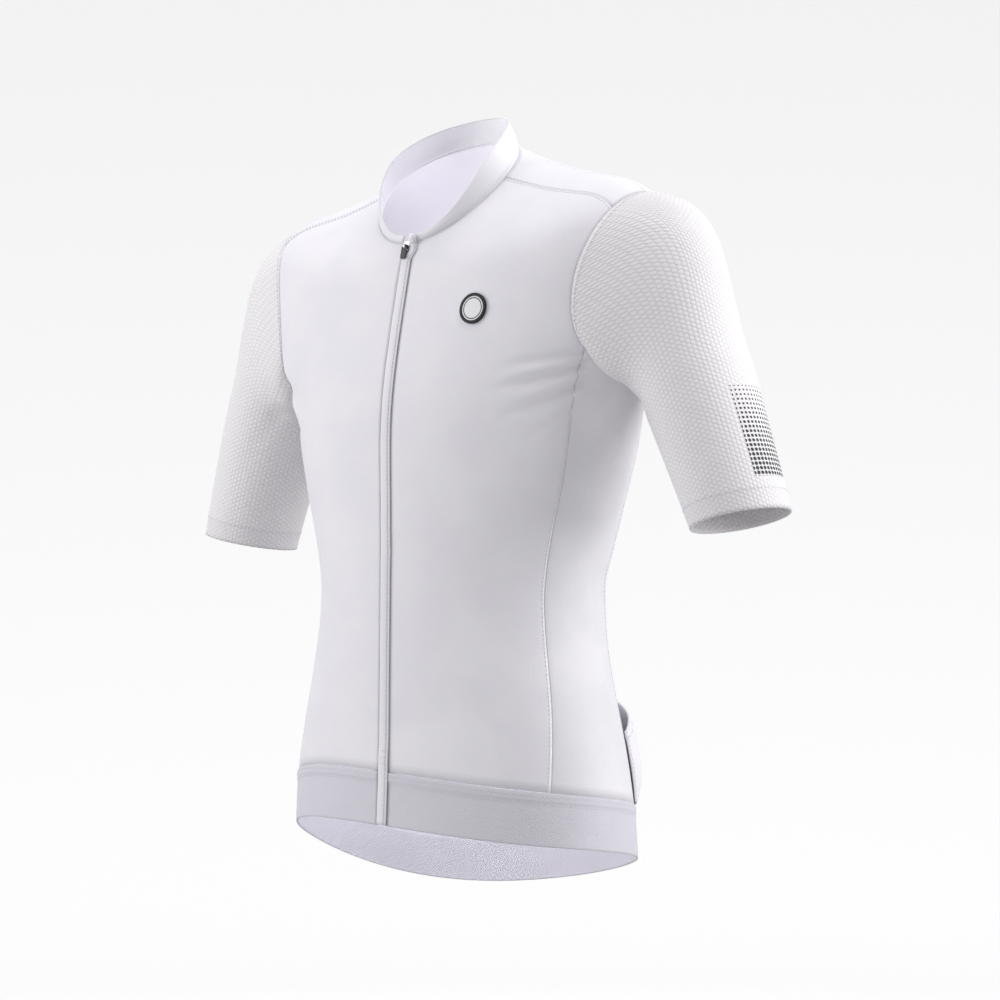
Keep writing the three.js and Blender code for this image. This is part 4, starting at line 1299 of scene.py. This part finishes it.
@dataclass
class Zip:
    """The zip's tapes and coil, the flap over it, and the finishes of the slider and the pull tab."""

    shop: Workshop
    frame: dict
    tape_from: float = 2.7
    tape_to: float = 13.0
    tape_depth: float = -2.3
    tape_wall: float = 0.9
    coil_turns: int = 460
    coil_reach: float = 1.55
    coil_radius: float = 0.42
    coil_foot: float = 6.5
    coil_top: float = 705.5
    core_reach: float = 2.2
    core_depth: float = -1.25
    flap_wall: float = 1.2

    def strip(
        self,
        levels: np.ndarray,
        edges: Callable[[np.ndarray], np.ndarray],
        out: Callable[[np.ndarray], np.ndarray],
    ) -> Patch:
        """A strip along the zip.

        Args:
            levels: The level of each row.
            edges: Distances across, one row of them for each level.
            out: How far out each row lies.

        Returns:
            The grid.
        """
        x = edges(levels)
        level = np.broadcast_to(levels[:, None], x.shape)
        points = self.face(x, level)
        return Patch(points, grid_normals(points)).lifted(out(levels)[:, None])

    def flat_strip(self, levels: np.ndarray, across: np.ndarray, depth: float) -> Patch:
        """A strip with the same distances across and the same depth at every level."""
        x = np.broadcast_to(across, (len(levels), len(across)))
        return self.strip(levels, lambda at: x, lambda at: np.full(len(at), depth))

    def face(self, x: np.ndarray, level: np.ndarray) -> np.ndarray:
        """The body's face at distances from the centre front."""
        return self.shop.torso.body(self.shop.torso.front_angle(x, np.minimum(level, NECK_LEVEL)), level)

    def build(self) -> None:
        """Makes the tapes, the teeth and the flap, and finishes the zip head."""
        finish = self.shop.finishes
        levels = np.linspace(4, 706, 180)
        for word, sign in (("left", 1), ("right", -1)):
            across = np.sort(np.linspace(self.tape_from, self.tape_to, 6) * sign)
            patch = self.flat_strip(levels, across, self.tape_depth)
            made = shell(f"tape_{word}", patch, self.tape_wall, 0.0)
            piece = self.shop.add(made, finish.tape, "zip_tape", f"zip_tape_{word}")
            self.shop.sheet(piece, patch, [f"front_{word}_panel"])
        self.teeth()
        self.flap()
        for node, material in (("slider", finish.metal), ("pull_tab", finish.pull)):
            target = self.frame["nodes"][node]
            target.data.materials.clear()
            target.data.materials.append(material)

    def teeth(self) -> None:
        """Makes the coil, a tube that zigzags across the zip as 1.6·sin(πk) clipped, and its core strip."""
        t = np.linspace(0, 1, self.coil_turns * 8 + 1)
        level = lerp(self.coil_foot, self.coil_top, t)
        x = self.coil_reach * np.clip(1.6 * np.sin(t * self.coil_turns * math.pi), -1, 1)
        base = self.face(x, level)
        up = unit(np.gradient(base, axis=0))
        out = unit(np.cross(np.array([1.0, 0, 0]), self.axis(level)))
        middle = base - out * (0.75 + 0.25 * np.cos(t * self.coil_turns * 2 * math.pi))[:, None]
        side = np.cross(out, up)
        ring = side[:, None] * HEXAGON[0] + out[:, None] * HEXAGON[1]
        points = (middle[:, None] + ring * self.coil_radius).reshape(-1, 3)
        made = mesh_object("coil_teeth", points, tube_faces(len(t)))
        self.shop.add(made, self.shop.finishes.teeth, "zip_teeth", "zip_coil")
        across = np.array([-self.core_reach, 0, self.core_reach])
        core = self.flat_strip(np.linspace(6, 706, 120), across, self.core_depth)
        self.shop.add(shell("coil_core", core, self.tape_wall, 0.0), self.shop.finishes.tape, "zip_tape")

    def axis(self, level: np.ndarray) -> np.ndarray:
        """Vectors up the centre front, one for each level."""
        front = np.full_like(level, -math.pi / 2)
        return self.shop.torso.body(front, level + 1) - self.shop.torso.body(front, level - 1)

    def flap(self) -> None:
        """Makes the flap, a strip from its free edge to its seam that turns aside near the neck.

        Its free edge is rounded, and a groove runs beside its seam.
        """
        share = np.linspace(0, 1, 17)
        levels = np.linspace(1, 718.5, 260)

        def edges(level: np.ndarray) -> np.ndarray:
            """Distances across at each level."""
            turned = smoothstep(level, 645, 685)[:, None]
            free, sewn = lerp(-3.5, 4.3, turned), lerp(7.0, 11.5, turned)
            return lerp(free, sewn, share[None, :])

        def out(level: np.ndarray) -> np.ndarray:
            """How far out it lies: higher over the hem band and the zip head."""
            low = lerp(2.5, 1.85, smoothstep(level, 60, 75))
            return low + 1.55 * smoothstep(level, 698, NECK_LEVEL)

        patch = self.strip(levels, edges, out)
        along = patch.flow[..., 1]
        wave = 0.12 * np.sin(along / 7) * np.sin(along / 31) * (1 - share)
        groove = 0.7 * np.exp(-(((share - 0.86) / 0.07) ** 2))
        crown = 0.5 * np.sin(math.pi * np.clip(share * 1.25, 0, 1)) - groove
        patch = patch.lifted(crown[None, :] + wave)
        made = shell("flap_cloth", patch, self.flap_wall, 0.0)
        piece = self.shop.add(made, self.shop.finishes.body, "body_cloth", "zip_flap")
        self.shop.sheet(piece, patch, ["front_left_panel"])
        lines = [Stitching().along(patch.points[:, 12], patch.normals[:, 12])]
        rungs = np.linspace(3, 13, 12).astype(int)
        tack = Stitching(1.4, 0.3)
        lines += [tack.along(patch.points[row, rungs], patch.normals[row, rungs]) for row in (20, 22, 24)]
        add_stitches(self.shop, "flap_stitches", lines)


@dataclass
class Badge:
    """The round print on the chest."""

    shop: Workshop
    angle: float = -69 * DEGREE
    level: float = 509.0
    radius: float = 14.0
    lift: float = 1.85
    wall: float = 1.6
    rim: float = 0.45

    def build(self) -> None:
        """Makes a disc that follows the chest, from rings of points about its middle, with a raised rim."""
        torso = self.shop.torso
        angle, level, radius = np.array(self.angle), np.array(self.level), self.radius
        middle = torso.point(angle, level)
        along = (torso.point(angle + 0.01, level) - middle) / 0.01
        rise = torso.point(angle, level + 1) - middle
        out, across = unit(np.cross(along, rise)), unit(along)
        up = np.cross(out, across)
        turn, share = np.meshgrid(np.linspace(0, 2 * math.pi, 97), np.linspace(1, 0.004, 33))
        x, y = radius * share * np.cos(turn), radius * share * np.sin(turn)
        a, b = np.full_like(x, angle), np.full_like(x, level)
        for _ in range(8):
            reached = torso.point(a, b) - middle
            a = a + (x - reached @ across) / np.linalg.norm(along)
            b = b + (y - reached @ up) / (rise @ up)
        points = torso.point(a, b)
        rim = smoothstep(share, 0.78, 0.82) * (1 - 0.35 * smoothstep(share, 0.95, 1.0))
        patch = Patch(points, np.broadcast_to(out, points.shape), True).lifted(self.lift + self.rim * rim)
        patch.flow = np.stack([x, y], -1)
        piece = shell("badge_disc", patch, self.wall + 0.3 * rim, 0.0)
        self.shop.add(piece, self.shop.finishes.badge, "badge_print", "chest_badge")


@dataclass
class Studio:
    """The floor with its raised back, the lights and the camera."""

    finishes: Finishes
    world_light: float = 0.49
    lens: float = 130.7
    sensor: float = 36.0
    camera_place: tuple[float, float, float] = (2.2428, -2.4143, -0.4713)
    camera_target: tuple[float, float, float] = (0.0381, 0.0343, -0.290)
    lit_target: tuple[float, float, float] = (0, 0, -0.3)

    # Name, place in metres, side in metres and power in watts
    SQUARE_LIGHTS = (
        ("picture_left", (-1.5, -1.5, 0.3), 1.6, 29),
        ("picture_right", (2.05, 1.0, 0.1), 1.5, 34),
        ("top", (0.5, 0.3, 2.2), 1.6, 38),
        ("low", (1.2, -1.1, -0.95), 1.0, 3),
    )
    # Name, place inside the jersey, radius and power, so that its hollow isn't black
    ROUND_LIGHTS = (("neck_glow", (0, 0.03, -0.13), 0.04, 0.36), ("hem_glow", (0, 0.03, -0.47), 0.04, 0.6))

    def build(self) -> None:
        """Makes the stage, the lights and the camera."""
        self.stage()
        world = bpy.data.worlds.new("studio")
        world.use_nodes = True
        world.node_tree.nodes["Background"].inputs[0].default_value = (1, 1, 1, 1)
        world.node_tree.nodes["Background"].inputs[1].default_value = self.world_light
        bpy.context.scene.world = world
        for name, place, size, power in self.SQUARE_LIGHTS:
            lamp = bpy.data.lights.new(name, "AREA")
            lamp.size, lamp.energy = size, power
            self.put(name, lamp, place, self.lit_target)
        for name, place, size, power in self.ROUND_LIGHTS:
            lamp = bpy.data.lights.new(name, "POINT")
            lamp.shadow_soft_size, lamp.energy = size, power
            self.put(name, lamp, place, self.lit_target)
        bpy.context.scene.view_settings.view_transform = "Standard"
        data = bpy.data.cameras.new("camera")
        data.lens, data.sensor_width = self.lens, self.sensor
        data.clip_start, data.clip_end = 0.05, 60
        camera = self.put("camera", data, self.camera_place, self.camera_target)
        bpy.context.scene.camera = camera

    def put(
        self, name: str, data: bpy.types.ID, place: Sequence[float], target: Sequence[float]
    ) -> bpy.types.Object:
        """Places a light or a camera and turns it to face a target.

        Args:
            name: Its name.
            data: The light or the camera.
            place: Where it is, in metres.
            target: What it faces.

        Returns:
            The object.
        """
        made = bpy.data.objects.new(name, data)
        made.location = place
        made.rotation_mode = "QUATERNION"
        made.rotation_quaternion = (Vector(target) - Vector(place)).to_track_quat("-Z", "Y")
        bpy.context.scene.collection.objects.link(made)
        return made

    def stage(self) -> None:
        """Makes a wide floor whose edge rises smoothly.

        z = -1 m + 5 m·step(r), with r the distance from the middle.
        """
        steps = np.linspace(-9000, 9000, 121)
        x, y = np.meshgrid(steps, steps)
        z = -1000 + 5000 * smoothstep(np.hypot(x, y), 3600, 9000)
        points = np.stack([x, y, z], -1).reshape(-1, 3)
        floor = mesh_object("studio_floor", points, grid_faces(len(steps), len(steps)))
        floor.data.materials.append(self.finishes.floor)
        floor.visible_diffuse = False


def main() -> None:
    """Builds the looks in order."""
    logging.basicConfig(level=logging.INFO, format="%(name)s: %(message)s")
    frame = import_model()
    torso = Torso()
    finishes = Finishes()
    shop = Workshop(torso, Pattern(torso), finishes)
    Body(shop).build()
    Sleeve(shop, Side.LEFT).build()
    Sleeve(shop, Side.RIGHT).build()
    Trim(shop).build()
    Pockets(shop).build()
    Zip(shop, frame).build()
    Badge(shop).build()
    Studio(finishes).build()


if __name__ == "__main__":
    main()
